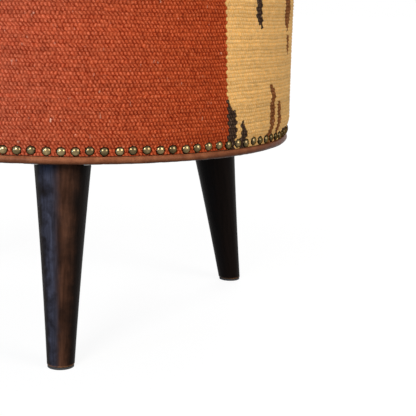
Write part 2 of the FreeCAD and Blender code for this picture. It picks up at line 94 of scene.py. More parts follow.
# %% [markdown]
# ## Helpers
#
# A finished piece sits at the origin with its place in its mesh, rides on the stool's one body and has
# a material slot of the record. Two helpers keep those steps the same for every piece: one makes an
# object from points and faces, the other gives it its finish and its place.

# %% Make and finish a piece
def shade(mesh, smooth):
    """Shade all faces of a mesh smooth or flat."""
    mesh.polygons.foreach_set("use_smooth", [smooth] * len(mesh.polygons))


def piece_from(name, vertices, faces, smooth=True):
    """A new mesh object from lists of points and faces."""
    mesh = bpy.data.meshes.new(name)
    mesh.from_pydata(vertices, [], faces)
    shade(mesh, smooth)
    mesh.update()
    piece = bpy.data.objects.new(name, mesh)
    bpy.context.scene.collection.objects.link(piece)
    return piece


def finish_piece(piece, material, nodes=()):
    """Give a piece its finish and its place in the stool."""
    piece.data.materials.clear()
    piece.data.materials.append(material)
    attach(piece, BODY)
    if nodes:
        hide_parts(*nodes)
    triangles = sum(len(face.vertices) - 2 for face in piece.data.polygons)
    print(f"{piece.name}: {len(piece.data.vertices)} points, {triangles} triangles")


print("every piece rides on:", BODY)

# %% [markdown]
# ## Shared shader groups
#
# Cloth, leather, brass, wood and rubber all need uneven tone, but each at its own scale. The same nodes
# could be built again in every material, but a group is built once and shared, and a material then only
# chooses the numbers on its named inputs. First come the helpers that add and link nodes.

# %% Node helpers
def new_group(name, inputs, outputs):
    """An empty shader group with its sockets, its input node and its output node."""
    tree = bpy.data.node_groups.new(name, "ShaderNodeTree")
    for label, kind, value in inputs:
        socket = tree.interface.new_socket(label, in_out="INPUT", socket_type=kind)
        if value is not None:
            socket.default_value = value
    for label, kind in outputs:
        tree.interface.new_socket(label, in_out="OUTPUT", socket_type=kind)
    return tree, tree.nodes.new("NodeGroupInput").outputs, tree.nodes.new("NodeGroupOutput").inputs


def feed(tree, socket, value):
    """Link a socket to an input, or set the input to a plain value."""
    if hasattr(value, "links"):
        tree.links.new(value, socket)
    else:
        socket.default_value = value


def add(tree, kind, links=(), **values):
    """A node with plain values on its named inputs, and links given as (input, socket)."""
    item = tree.nodes.new(kind)
    for label, value in values.items():
        item.inputs[label.replace("_", " ")].default_value = value
    for label, socket in links:
        tree.links.new(socket, item.inputs[label])
    return item


def math_node(tree, operation, first, second=0.0):
    """The result of a sum on two sockets or numbers."""
    item = tree.nodes.new("ShaderNodeMath")
    item.operation = operation
    feed(tree, item.inputs[0], first)
    feed(tree, item.inputs[1], second)
    return item.outputs[0]


def mix_colour(tree, mask, first, second, blend="MIX"):
    """Mix two colours by a mask; each is a socket or a plain colour or number."""
    item = tree.nodes.new("ShaderNodeMix")
    item.data_type = "RGBA"
    item.blend_type = blend
    feed(tree, item.inputs["Factor"], mask)
    colours = [socket for socket in item.inputs if socket.type == "RGBA"]
    feed(tree, colours[0], first)
    feed(tree, colours[1], second)
    return [socket for socket in item.outputs if socket.type == "RGBA"][0]


FLOAT, COLOUR, VECTOR = "NodeSocketFloat", "NodeSocketColor", "NodeSocketVector"
MASKED_COLOUR = (("Color", COLOUR), ("Mask", FLOAT), ("Height", FLOAT))
print("a masked colour gives:", [label for label, _ in MASKED_COLOUR])

# %% [markdown]
# Flecks are the fibres of yarn and felt: fine specks, a little lighter or darker than the rest. An image
# could hold them, but a noise in three dimensions needs no unwrapping and has no seams. It puts out a tone
# to multiply a colour by, and a height for the bump.

# %% Fibre flecks
def fleck_group():
    """Fine uneven tone and a height for the fibres of yarn, felt and cloth."""
    inputs = (("Vector", VECTOR, None), ("Scale", FLOAT, 900.0), ("Contrast", FLOAT, 0.15))
    tree, given, out = new_group("fibre_fleck", inputs, (("Tone", FLOAT), ("Height", FLOAT)))
    links = [("Vector", given["Vector"]), ("Scale", given["Scale"])]
    fibres = add(tree, "ShaderNodeTexNoise", links, Detail=5.0, Roughness=0.65)
    low = math_node(tree, "SUBTRACT", 1.0, given["Contrast"])
    high = math_node(tree, "ADD", 1.0, given["Contrast"])
    spread = [("Value", fibres.outputs[0]), ("To Min", low), ("To Max", high)]
    tone = add(tree, "ShaderNodeMapRange", spread, From_Min=0.3, From_Max=0.7)
    tree.links.new(tone.outputs[0], out["Tone"])
    tree.links.new(fibres.outputs[0], out["Height"])
    return tree


FLECK = fleck_group()
print("group:", FLECK.name, "with", len(FLECK.nodes), "nodes")

# %% [markdown]
# Mottle is the broad, soft change of colour in hide, patina and rubber. Two colours are mixed by a noise
# whose middle is stretched, and the mask comes out as well, so roughness can follow the same patches.

# %% Mottle
def mottle_group():
    """Broad soft patches between two colours, with the mask and a height put out as well."""
    inputs = (
        ("Vector", VECTOR, None),
        ("Scale", FLOAT, 60.0),
        ("Sharpness", FLOAT, 0.2),
        ("First", COLOUR, (0.2, 0.2, 0.2, 1.0)),
        ("Second", COLOUR, (0.4, 0.4, 0.4, 1.0)),
    )
    tree, given, out = new_group("mottle", inputs, MASKED_COLOUR)
    links = [("Vector", given["Vector"]), ("Scale", given["Scale"])]
    level = add(tree, "ShaderNodeTexNoise", links, Detail=6.0, Roughness=0.6).outputs[0]
    low = math_node(tree, "SUBTRACT", 0.5, given["Sharpness"])
    high = math_node(tree, "ADD", 0.5, given["Sharpness"])
    mask = add(tree, "ShaderNodeMapRange", [("Value", level), ("From Min", low), ("From Max", high)])
    colour = mix_colour(tree, mask.outputs[0], given["First"], given["Second"])
    tree.links.new(colour, out["Color"])
    tree.links.new(mask.outputs[0], out["Mask"])
    tree.links.new(level, out["Height"])
    return tree


MOTTLE = mottle_group()
print("group:", MOTTLE.name, "with", len(MOTTLE.nodes), "nodes")

# %% [markdown]
# Grain is the streaks that run along a board or a leg. A wave texture would give even rings, but stained
# wood shows broken streaks, so a noise is squeezed along one axis until its specks become lines.

# %% Grain
GRAIN_SQUEEZE = (1.0, 1.0, 0.05)


def grain_group():
    """Streaks along Z between two colours, as in turned or sawn wood."""
    inputs = (
        ("Vector", VECTOR, None),
        ("Scale", FLOAT, 140.0),
        ("Dark", COLOUR, (0.02, 0.015, 0.01, 1.0)),
        ("Light", COLOUR, (0.08, 0.05, 0.03, 1.0)),
    )
    tree, given, out = new_group("grain", inputs, MASKED_COLOUR)
    drawn = add(tree, "ShaderNodeMapping", [("Vector", given["Vector"])], Scale=GRAIN_SQUEEZE)
    links = [("Vector", drawn.outputs[0]), ("Scale", given["Scale"])]
    streaks = add(tree, "ShaderNodeTexNoise", links, Detail=7.0, Roughness=0.62, Distortion=0.4)
    mask = add(tree, "ShaderNodeMapRange", [("Value", streaks.outputs[0])], From_Min=0.34, From_Max=0.7)
    colour = mix_colour(tree, mask.outputs[0], given["Dark"], given["Light"])
    tree.links.new(colour, out["Color"])
    tree.links.new(mask.outputs[0], out["Mask"])
    tree.links.new(streaks.outputs[0], out["Height"])
    return tree


GRAIN = grain_group()
print("group:", GRAIN.name, "with", len(GRAIN.nodes), "nodes")

# %% [markdown]
# Painted light on the side that faces the front left: the leather is painted paler and the brass brighter
# there than on the far side, which is painted dark as shade. Painting that by hand would need an unwrapped
# picture; here a dot product measures how far a point lies towards that side, and a soft tone follows it.

# %% Painted side light
LIT_SIDE_TOWARDS = (-0.5, -0.87, 0.0)
LIT_SIDE_FULL = 215.0 * MM
LIT_SIDE_END = -50.0 * MM


def painted_lit_side_group():
    """Painted light: a tone that is 1 on the lit side and falls to the Least beyond it."""
    inputs = (("Vector", VECTOR, None), ("Least", FLOAT, 0.6))
    tree, given, out = new_group("painted_lit_side", inputs, (("Tone", FLOAT),))
    reach = add(tree, "ShaderNodeVectorMath", [(0, given["Vector"])])
    reach.operation = "DOT_PRODUCT"
    reach.inputs[1].default_value = LIT_SIDE_TOWARDS
    links = [("Value", reach.outputs["Value"]), ("To Max", given["Least"])]
    tone = add(tree, "ShaderNodeMapRange", links, From_Min=LIT_SIDE_FULL, From_Max=LIT_SIDE_END, To_Min=1.0)
    tree.links.new(tone.outputs[0], out["Tone"])
    return tree


PAINTED_LIT_SIDE = painted_lit_side_group()
print("group:", PAINTED_LIT_SIDE.name, "with", len(PAINTED_LIT_SIDE.nodes), "nodes")

# %% [markdown]
# ## Finishes
#
# Each finish is one material. Colours are written as they look in plain light, from 0 to 255, and one
# helper turns them into the linear values that a shader wants. Another sets up a material with its
# Principled BSDF and gives out the coordinates that all its textures read.

# %% Colours and materials
def dye(red, green, blue):
    """A colour as seen, 0 to 255, as linear values with full alpha."""
    shares = [channel / 255 for channel in (red, green, blue)]
    linear = [s / 12.92 if s <= 0.04045 else ((s + 0.055) / 1.055) ** 2.4 for s in shares]
    return (*linear, 1.0)


def new_material(name, roughness, **values):
    """A material, its node tree, its Principled BSDF and its Object coordinates."""
    material = bpy.data.materials.new(name)
    material.use_nodes = True
    tree = material.node_tree
    shader = tree.nodes["Principled BSDF"]
    shader.inputs["Roughness"].default_value = roughness
    for label, value in values.items():
        shader.inputs[label.replace("_", " ")].default_value = value
    place = tree.nodes.new("ShaderNodeTexCoord").outputs["Object"]
    return material, tree, shader, place


print("middle grey is linear", round(dye(128, 128, 128)[0], 3))

# %% [markdown]
# A group's outputs then drive the colour, the bump and the roughness. Each of these links could be written
# out wherever it is needed, but with a helper for each a material's code reads as a short recipe.

# %% Effects in a material
def use_group(tree, group, place, **values):
    """Put a shared group into a tree, laid out by a place socket; gives its outputs."""
    item = tree.nodes.new("ShaderNodeGroup")
    item.node_tree = group
    for label, value in values.items():
        item.inputs[label].default_value = value
    tree.links.new(place, item.inputs["Vector"])
    return item.outputs


def raise_surface(tree, shader, height, distance, strength=1.0):
    """Drive the shader's normal from a height, in metres."""
    bump = add(tree, "ShaderNodeBump", [("Height", height)], Distance=distance, Strength=strength)
    tree.links.new(bump.outputs[0], shader.inputs["Normal"])


def rough_between(tree, shader, mask, low, high):
    """Let roughness follow a mask."""
    item = add(tree, "ShaderNodeMapRange", [("Value", mask)], To_Min=low, To_Max=high)
    tree.links.new(item.outputs[0], shader.inputs["Roughness"])


def grey(tree, value):
    """A number as a colour of three equal channels."""
    item = tree.nodes.new("ShaderNodeCombineColor")
    for channel in item.inputs:
        tree.links.new(value, channel)
    return item.outputs[0]


def attribute(tree, name):
    """The node that reads a named attribute of the mesh."""
    item = tree.nodes.new("ShaderNodeAttribute")
    item.attribute_name = name
    return item.outputs


print("shared groups:", [group.name for group in (FLECK, MOTTLE, GRAIN, PAINTED_LIT_SIDE)])

# %% [markdown]
# ### Kilim yarn
#
# The cloth is hand-spun wool with bits of stray lint; painted shade darkens the gaps between floats, and a
# pale painted highlight lies on the fuzzy crests. A painted texture would fix the pattern to one picture, so
# the colour
# comes from the mesh: each float carries the colour of its yarn and how high each point lies, and the shader
# only paints shade into the gaps, paints a highlight on the crests and scatters the lint.

# %% Make the kilim yarn
# The pale colour of lint specks, also used for the painted highlight on the crests
LINT_AND_HIGHLIGHT = dye(226, 190, 160)
LINT_STRETCH = (1.0, 1.0, 0.45)


def gap_colour(tree, yarn):
    """The yarn's colour in the shade between floats: deeper, and most so for dark yarn."""
    deep = add(tree, "ShaderNodeGamma", [("Color", yarn)], Gamma=1.6)
    pale = add(tree, "ShaderNodeRGBToBW", [("Color", yarn)])
    light = [("Value", pale.outputs[0])]
    shade = add(tree, "ShaderNodeMapRange", light, From_Min=0.2, From_Max=0.55, To_Min=0.4, To_Max=1.2)
    return mix_colour(tree, 1.0, deep.outputs[0], grey(tree, shade.outputs[0]), "MULTIPLY")


def lint_mask(tree, place):
    """Few small specks, longer than they are wide."""
    drawn = add(tree, "ShaderNodeMapping", [("Vector", place)], Scale=LINT_STRETCH)
    stray = add(tree, "ShaderNodeTexNoise", [("Vector", drawn.outputs[0])], Scale=330.0, Detail=2.0)
    few = [("Value", stray.outputs[0])]
    return add(tree, "ShaderNodeMapRange", few, From_Min=0.71, From_Max=0.78, To_Max=0.55).outputs[0]


def kilim_material():
    """Wool with painted shade in the gaps between floats and a painted highlight on their fuzzy crests, with
    stray lint.
    """
    material, tree, shader, place = new_material("kilim_yarn", roughness=0.9, Specular_IOR_Level=0.08)
    yarn = attribute(tree, "yarn")["Color"]
    lie = attribute(tree, "lie")["Fac"]
    fuzz = use_group(tree, FLECK, place, Scale=420.0, Contrast=0.3)
    fibres = use_group(tree, FLECK, place, Scale=1300.0, Contrast=0.28)
    height = math_node(tree, "MULTIPLY", lie, fuzz["Tone"])
    crest = add(tree, "ShaderNodeMapRange", [("Value", height)], From_Min=0.1, From_Max=0.9).outputs[0]
    # Painted shade: the gap colour where the crest mask is low, the yarn's own colour on the crests
    toned = mix_colour(tree, crest, gap_colour(tree, yarn), yarn)
    wool = mix_colour(tree, 1.0, toned, grey(tree, fibres["Tone"]), "MULTIPLY")
    raised = math_node(tree, "MULTIPLY", crest, fibres["Tone"])
    # Painted highlight: a little of the pale colour mixed onto the crests
    painted_highlight = add(tree, "ShaderNodeMapRange", [("Value", raised)], From_Min=0.75, From_Max=1.25, To_Max=0.13)
    with_painted_highlight = mix_colour(tree, painted_highlight.outputs[0], wool, LINT_AND_HIGHLIGHT)
    colour = mix_colour(tree, lint_mask(tree, place), with_painted_highlight, LINT_AND_HIGHLIGHT)
    tree.links.new(colour, shader.inputs["Base Color"])
    raise_surface(tree, shader, fibres["Height"], distance=0.5 * MM)
    return material


KILIM = kilim_material()
print(KILIM.name, "has", len(KILIM.node_tree.nodes), "nodes")

# %% [markdown]
# ### Tan leather
#
# The piping is thin tan hide, uneven in colour and finely pored. A smooth brown would read as plastic, so
# mottle changes the tan, a cell texture makes the pores, and roughness follows the same patches. Light is
# painted
# into its tone by which way it faces: painted light on its upper side and painted shade on its underside.

# %% Make the leather
PORE = dye(96, 52, 32)


def painted_top_light(tree, place):
    """Painted light and shade: a tone that is high where the hide faces up and low where it faces down."""
    upward = add(tree, "ShaderNodeSeparateXYZ", [("Vector", place.node.outputs["Normal"])])
    facing = [("Value", upward.outputs["Z"])]
    lit_from_above = add(tree, "ShaderNodeMapRange", facing, From_Min=-0.8, From_Max=0.8, To_Min=0.55, To_Max=1.4)
    return lit_from_above.outputs[0]


def leather_material():
    """Tan hide with patches and pores, and painted light and shade by which way it faces."""
    material, tree, shader, place = new_material("tan_leather", roughness=0.45, Specular_IOR_Level=0.04)
    tans = {"First": dye(104, 57, 36), "Second": dye(147, 91, 61)}
    patches = use_group(tree, MOTTLE, place, Scale=90.0, Sharpness=0.22, **tans)
    pores = add(tree, "ShaderNodeTexVoronoi", [("Vector", place)], Scale=900.0)
    pit = add(tree, "ShaderNodeMapRange", [("Value", pores.outputs["Distance"])], From_Max=0.5).outputs[0]
    hide = mix_colour(tree, pit, PORE, patches["Color"])
    lit_side = use_group(tree, PAINTED_LIT_SIDE, place, Least=0.5)
    # Painted light: paler on the lit front left side and on top, painted shade underneath
    tone = math_node(tree, "MULTIPLY", lit_side["Tone"], painted_top_light(tree, place))
    colour = mix_colour(tree, 1.0, hide, grey(tree, tone), "MULTIPLY")
    tree.links.new(colour, shader.inputs["Base Color"])
    rough_between(tree, shader, patches["Mask"], low=0.3, high=0.42)
    raise_surface(tree, shader, pit, distance=0.12 * MM, strength=0.6)
    return material


LEATHER = leather_material()
print(LEATHER.name, "has", len(LEATHER.node_tree.nodes), "nodes")

# %% [markdown]
# ### Antique brass
#
# The nails are old brass: rubbed bright on the crown of each dome, painted dark at the rim as shade, and some
# duller than others. One colour for all would look new. Each dome carries how high a point lies on it, and
# each copy a chance number, so the shader can tone every nail by itself. Those on the lit front left side are
# also painted brighter than those beyond, as painted light.

# %% Make the brass
# Tint of the metal at a slant, so that the sides of the domes don't turn white
BRASS_EDGE = dye(170, 150, 110)


def brass_material():
    """Old brass: rubbed bright on each crown, painted dark at its rim as shade, some nails duller than
    others.
    """
    metal = {"Metallic": 1.0, "Specular_Tint": BRASS_EDGE}
    material, tree, shader, place = new_material("antique_brass", roughness=0.35, **metal)
    brasses = {"First": dye(97, 82, 54), "Second": dye(178, 154, 110)}
    patina = use_group(tree, MOTTLE, place, Scale=260.0, Sharpness=0.25, **brasses)
    dome_height = [("Value", attribute(tree, "dome_height")["Fac"])]
    age = [("Value", attribute(tree, "chance")["Fac"])]
    # Painted shade: the dome's colour falls towards its rim, to a twentieth below a quarter of its height
    rubbed = add(tree, "ShaderNodeMapRange", dome_height, From_Min=0.25, To_Min=0.05)
    kept = add(tree, "ShaderNodeMapRange", age, From_Max=0.6, To_Min=0.45)
    # Painted light: brighter nails on the lit front left side, darker ones beyond it as painted shade
    lit_side = use_group(tree, PAINTED_LIT_SIDE, place, Least=0.45)
    crown = math_node(tree, "MULTIPLY", rubbed.outputs[0], kept.outputs[0])
    shine = math_node(tree, "MULTIPLY", crown, lit_side["Tone"])
    colour = mix_colour(tree, 1.0, patina["Color"], grey(tree, shine), "MULTIPLY")
    tree.links.new(colour, shader.inputs["Base Color"])
    rough_between(tree, shader, patina["Mask"], low=0.28, high=0.16)
    raise_surface(tree, shader, patina["Height"], distance=0.08 * MM, strength=0.4)
    return material


BRASS = brass_material()
print(BRASS.name, "has", len(BRASS.node_tree.nodes), "nodes")

# %% [markdown]
# ### Stained wood
#
# The legs are turned wood, stained dark. Light is painted on them as a paler brown band down each leg, and a
# painted blue-grey reflection, as of a window, lies beside that band; the edge of the foot is rubbed bare.
# The grain has to run along each leaning leg, so the coordinates are first turned upright about the leg's
# foot.
# Across the leg they are then divided by its radius, so that the bands narrow with the taper.

# %% Coordinates along a leg
LEG_SPLAY = math.radians(9.83)
LEG_FOOT_RADIUS = 13.3 * MM
LEG_WIDENING = 0.0725
FOOT_HEIGHT = 2.2 * MM
FOOT_CIRCLE = 219.6 * MM


def along_leg(tree, place, azimuth):
    """Coordinates with Z up the leg from its foot and X to the right of one who faces it."""
    outward = Vector((math.sin(azimuth), -math.cos(azimuth), 0))
    foot = outward * FOOT_CIRCLE + Vector((0, 0, FOOT_HEIGHT))
    turn = Matrix.Rotation(LEG_SPLAY, 3, "X") @ Matrix.Rotation(-azimuth, 3, "Z")
    values = {"Rotation": turn.to_euler("XYZ"), "Location": -(turn @ foot)}
    return add(tree, "ShaderNodeMapping", [("Vector", place)], **values).outputs[0]


def across_leg(tree, along):
    """Share of the leg's radius to its right, minus to its left."""
    axes = add(tree, "ShaderNodeSeparateXYZ", [("Vector", along)]).outputs
    widening = math_node(tree, "MULTIPLY", axes["Z"], LEG_WIDENING)
    radius = math_node(tree, "ADD", widening, LEG_FOOT_RADIUS)
    return math_node(tree, "DIVIDE", axes["X"], radius)


print(f"legs lean by {math.degrees(LEG_SPLAY):.2f} degrees")

# %% [markdown]
# Three layers lie on the wood: painted light that makes it paler along one band, a painted blue-grey
# reflection along another, and a rubbed foot. Painting them would tie them to one leg, so each is a soft mask
# that is made from the coordinates and broken up by mottle. The colours are mixed in that order, with the
# grain over them.

# %% Stained wood, painted light and reflection, and the rubbed foot of one leg
STAIN_DEEP = dye(22, 15, 12)
BARE_WOOD = dye(150, 104, 70)
BAND_WANDER = 0.55
BAND_LEAST = 0.25
LIT_BAND_SIDE = 0.14
LIT_BAND_HALF = 0.64
REFLECTION_SIDE = -0.42
REFLECTION_HALF = 0.48
FOOT_WEAR = 2.0 * MM
WEAR_SHARE = 0.4
STREAKS = {"Dark": (0.4, 0.38, 0.36, 1.0), "Light": (1.0, 1.0, 1.0, 1.0)}


def band_along(tree, across, middle, half, broken):
    """A soft band along a leg, broken up by a mask."""
    away = math_node(tree, "ABSOLUTE", math_node(tree, "SUBTRACT", across, middle))
    band = add(tree, "ShaderNodeMapRange", [("Value", away)], From_Max=half, To_Min=1.0, To_Max=0.0)
    band.interpolation_type = "SMOOTHSTEP"
    return math_node(tree, "MULTIPLY", band.outputs[0], math_node(tree, "ADD", broken, BAND_LEAST))


def foot_wear(tree, place, rubs):
    """How far the edge of the foot is rubbed bare."""
    level = [("Value", add(tree, "ShaderNodeSeparateXYZ", [("Vector", place)]).outputs["Z"])]
    reach = {"From_Min": FOOT_HEIGHT + FOOT_WEAR / 2, "From_Max": FOOT_HEIGHT + FOOT_WEAR}
    edge = add(tree, "ShaderNodeMapRange", level, To_Min=1.0, To_Max=0.0, **reach)
    return math_node(tree, "MULTIPLY", edge.outputs[0], math_node(tree, "MULTIPLY", rubs, WEAR_SHARE))


def leg_material(name, azimuth, stain_lit_shaded, painted_reflection):
    """Dark stained wood over grain along this leg, painted paler along one band as light, with a painted
    blue-grey reflection beside it, and rubbed pale at the foot's edge.
    """
    plain = {"roughness": 0.4, "Specular_IOR_Level": 0.03}
    material, tree, shader, place = new_material(f"dark_wood_{name}", **plain)
    along = along_leg(tree, place, azimuth)
    patches = use_group(tree, MOTTLE, along, Scale=26.0, Sharpness=0.18)
    dabs = use_group(tree, MOTTLE, along, Scale=75.0, Sharpness=0.16)
    grain = use_group(tree, GRAIN, along, Scale=260.0, **STREAKS)
    rubs = use_group(tree, FLECK, place, Scale=240.0, Contrast=1.0)
    wander = math_node(tree, "MULTIPLY", math_node(tree, "SUBTRACT", dabs["Height"], 0.5), BAND_WANDER)
    across = math_node(tree, "ADD", across_leg(tree, along), wander)
    # Painted light: the leg's colour is paler inside this band and keeps the deep stained colour outside it
    lit_band = band_along(tree, across, LIT_BAND_SIDE, LIT_BAND_HALF, patches["Mask"])
    # Painted reflection: a blue-grey band, as of a window, beside the painted light
    reflection_band = band_along(tree, across, REFLECTION_SIDE, REFLECTION_HALF, dabs["Mask"])
    stain_with_painted_light = mix_colour(tree, lit_band, STAIN_DEEP, stain_lit_shaded)
    with_painted_reflection = mix_colour(tree, reflection_band, stain_with_painted_light, painted_reflection)
    stained = mix_colour(tree, 1.0, with_painted_reflection, grain["Color"], "MULTIPLY")
    colour = mix_colour(tree, foot_wear(tree, place, rubs["Tone"]), stained, BARE_WOOD)
    tree.links.new(colour, shader.inputs["Base Color"])
    rough_between(tree, shader, grain["Mask"], low=0.36, high=0.46)
    tooled = math_node(tree, "ADD", grain["Height"], rubs["Height"])
    raise_surface(tree, shader, tooled, distance=0.35 * MM, strength=0.6)
    return material


print(f"the foot's edge is worn up to {FOOT_WEAR / MM:.1f} mm")

# %% [markdown]
# ### Rubber and steel
#
# The pads under the feet are black rubber, and the bolts, plates and screws are zinc-coated steel. Both
# are plain, so one mottle each is enough: fine and dull for rubber, broad and shiny for zinc.

# %% Make rubber and steel
def rubber_material():
    """Dull black rubber with a fine skin."""
    material, tree, shader, place = new_material("black_rubber", roughness=0.7)
    blacks = {"First": dye(20, 20, 20), "Second": dye(34, 33, 32)}
    patches = use_group(tree, MOTTLE, place, Scale=300.0, Sharpness=0.3, **blacks)
    tree.links.new(patches["Color"], shader.inputs["Base Color"])
    raise_surface(tree, shader, patches["Height"], distance=0.1 * MM, strength=0.5)
    return material


def steel_material():
    """Zinc-coated steel, clouded here and there."""
    material, tree, shader, place = new_material("zinc_steel", roughness=0.35, Metallic=1.0)
    greys = {"First": dye(168, 166, 158), "Second": dye(206, 204, 198)}
    patches = use_group(tree, MOTTLE, place, Scale=120.0, Sharpness=0.3, **greys)
    tree.links.new(patches["Color"], shader.inputs["Base Color"])
    rough_between(tree, shader, patches["Mask"], low=0.28, high=0.45)
    return material


RUBBER = rubber_material()
STEEL = steel_material()
print("made:", RUBBER.name, "and", STEEL.name)

# %% [markdown]
# ### Boards
#
# Inside the drum are two round boards and a bent wall of plywood, and six posts of pine. They hardly show,
# so they share one recipe: grain laid on its side, in two pairs of pale colours.

# %% Make the boards' wood
LYING = (math.radians(90), 0, 0)


def board_material(name, dark, light, scale):
    """Sawn wood with its grain from front to back."""
    material, tree, shader, place = new_material(name, roughness=0.65)
    lying = add(tree, "ShaderNodeMapping", [("Vector", place)], Rotation=LYING).outputs[0]
    grain = use_group(tree, GRAIN, lying, Scale=scale, Dark=dark, Light=light)
    tree.links.new(grain["Color"], shader.inputs["Base Color"])
    raise_surface(tree, shader, grain["Height"], distance=0.2 * MM, strength=0.4)
    return material


PLYWOOD = board_material("plywood", dye(176, 136, 92), dye(206, 170, 124), scale=60.0)
PINE = board_material("pine", dye(196, 152, 98), dye(224, 188, 138), scale=90.0)
print("made:", PLYWOOD.name, "and", PINE.name)

# %% [markdown]
# ### Stuffing and black cloth
#
# Foam, wadding and the black cloth under the base are all matted fibre. One felt recipe with mottle for
# the colour and flecks for the nap makes the three of them. A little sheen catches light along the edges.

# %% Make foam, wadding and black cloth
def felt_material(name, first, second, scale):
    """Matted fibre in two close colours."""
    material, tree, shader, place = new_material(name, roughness=0.95, Sheen_Weight=0.2)
    patches = use_group(tree, MOTTLE, place, Scale=scale, Sharpness=0.3, First=first, Second=second)
    fibres = use_group(tree, FLECK, place, Scale=1100.0, Contrast=0.2)
    tree.links.new(patches["Color"], shader.inputs["Base Color"])
    raise_surface(tree, shader, fibres["Height"], distance=0.4 * MM, strength=0.7)
    return material


CLOTH = felt_material("black_cloth", dye(22, 22, 23), dye(36, 36, 37), scale=40.0)
FOAM = felt_material("foam", dye(226, 214, 176), dye(238, 228, 196), scale=30.0)
WADDING = felt_material("wadding", dye(232, 232, 228), dye(244, 244, 242), scale=25.0)
print("made:", CLOTH.name, FOAM.name, WADDING.name)

# %% [markdown]
# ## Finishes on the frame's own pieces
#
# Legs, pads, plates, bolts and boards already have their real shape, so they only take a finish. Each leg
# has its own copy of the wood, because its grain runs along its own axis, and its colours are lit and shaded
# copies of one wood: the front one paler with a painted reflection, the right one painted nearly black as
# shade.

# %% Assign finishes to the frame's pieces
LEG_STEP = math.radians(120)
# Each leg: azimuth, its colour as painted light and shade, and its painted reflection
LEGS = {
    "front": (0.0, dye(86, 56, 41), dye(68, 68, 80)),
    "right": (LEG_STEP, dye(24, 15, 11), dye(20, 16, 15)),
    "left": (2 * LEG_STEP, dye(50, 28, 16), dye(34, 34, 40)),
}
dressed = []


def dress(material, *nodes):
    """Give nodes of the frame one finish."""
    for node in nodes:
        mesh = NODES[node].data
        mesh.materials.clear()
        mesh.materials.append(material)
        dressed.append(node)


for leg, (azimuth, stain_lit_shaded, painted_reflection) in LEGS.items():
    dress(leg_material(leg, azimuth, stain_lit_shaded, painted_reflection), f"leg_{leg}")
    dress(RUBBER, f"foot_glide_{leg}")
    dress(STEEL, f"hanger_bolt_{leg}", f"leg_plate_{leg}")
dress(STEEL, "plate_screws", "base_screws", "deck_screws")
dress(PLYWOOD, "base_board", "deck_board", "side_wall")
dress(PINE, *[name for name in NODES if name.startswith("post_")])
print("dressed:", len(dressed), "of", len(NODES), "nodes")

# %% [markdown]
# ## Seat pad
#
# Under the top cover lies a foam pad with a crowned top and a layer of wadding. It could be sculpted by
# hand, but a turned section already has the right sizes. It starts a little small, so that it can be
# blown up afterwards, and is remeshed so that its points lie evenly.

# %% Section of the pad
PAD_SHRINK = 2.5 * MM
PAD_BEVEL = 4.0 * MM
PAD_INSET = 2.0 * MM
PAD_RINGS = 12
PAD_TOP_GAP = 6.0 * MM
foam_low, foam_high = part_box("seat_foam")


def crown_height(radius):
    """Height of the crowned top above its edge: a part of a ball."""
    ball = (TOP_RADIUS**2 + CROWN**2) / (2 * CROWN)
    return np.sqrt(ball**2 - np.minimum(radius, TOP_RADIUS) ** 2) - ball + CROWN


def pad_section():
    """Half section of the pad as (radius, height) points, from the middle below to the middle on top."""
    rim = foam_high.x - PAD_SHRINK
    section = [(0.0, foam_low.z), (rim - PAD_BEVEL, foam_low.z)]
    section += [(rim, foam_low.z + PAD_BEVEL), (rim, SHOULDER)]
    for ring in range(PAD_RINGS + 1):
        radius = (TOP_RADIUS - PAD_INSET) * (1 - ring / PAD_RINGS)
        section.append((radius, CROWN_EDGE - PAD_TOP_GAP - PAD_SHRINK + float(crown_height(radius))))
    return section


print("section points:", len(pad_section()))

# %% [markdown]
# Turning is what a lathe does: the half section is carried round the axis in even steps, and neighbouring
# rings are joined by faces. Blender's Screw modifier could do it too, but rings of points written in code
# can be closed at the axis without doubled points.

# %% Turn a section
def on_circle(radius, azimuth, height):
    """A point at an azimuth from the front, counted to the right."""
    return Vector((radius * math.sin(azimuth), -radius * math.cos(azimuth), height))


def face_outwards(piece):
    """Turn every face of a closed piece to the outside."""
    work = bmesh.new()
    work.from_mesh(piece.data)
    bmesh.ops.recalc_face_normals(work, faces=work.faces)
    work.to_mesh(piece.data)
    work.free()


def between_rings(first, last, steps):
    """Faces from each ring of points to the next; the outermost rings start at points first and last."""
    faces = []
    for here in range(first, last, steps):
        beyond = here + steps
        for step in range(steps):
            ahead = (step + 1) % steps
            faces.append((here + step, here + ahead, beyond + ahead, beyond + step))
    return faces


def fan(ring, steps, middle):
    """Triangles from a ring of points to one point in its middle."""
    return [(ring + step, ring + (step + 1) % steps, middle) for step in range(steps)]


def turned_solid(name, section, steps):
    """A closed solid from a half section that starts and ends on the drum's axis."""
    vertices = [Vector((0, 0, section[0][1])), Vector((0, 0, section[-1][1]))]
    rings = section[1:-1]
    for radius, height in rings:
        vertices += [on_circle(radius, 2 * math.pi * step / steps, height) for step in range(steps)]
    first = 2
    last = first + (len(rings) - 1) * steps
    faces = fan(first, steps, 0) + between_rings(first, last, steps) + fan(last, steps, 1)
    piece = piece_from(name, vertices, faces)
    face_outwards(piece)
    return piece


print("the rim at the front:", [round(v, 4) for v in on_circle(RIM_CIRCLE, 0, RIM)])

# %% [markdown]
# The turned faces crowd towards the middle, and cloth behaves badly on such a mesh. A voxel remesh gives the
# pad faces of one size all over, and the modifier's result is kept as a plain mesh.

# %% Remesh the pad
PAD_STEPS = 96
PAD_VOXEL = 6.0 * MM


def apply_modifiers(piece):
    """Keep what the modifiers make, as a plain mesh."""
    graph = bpy.context.evaluated_depsgraph_get()
    graph.update()
    result = bpy.data.meshes.new_from_object(piece.evaluated_get(graph))
    old = piece.data
    piece.modifiers.clear()
    piece.data = result
    bpy.data.meshes.remove(old)


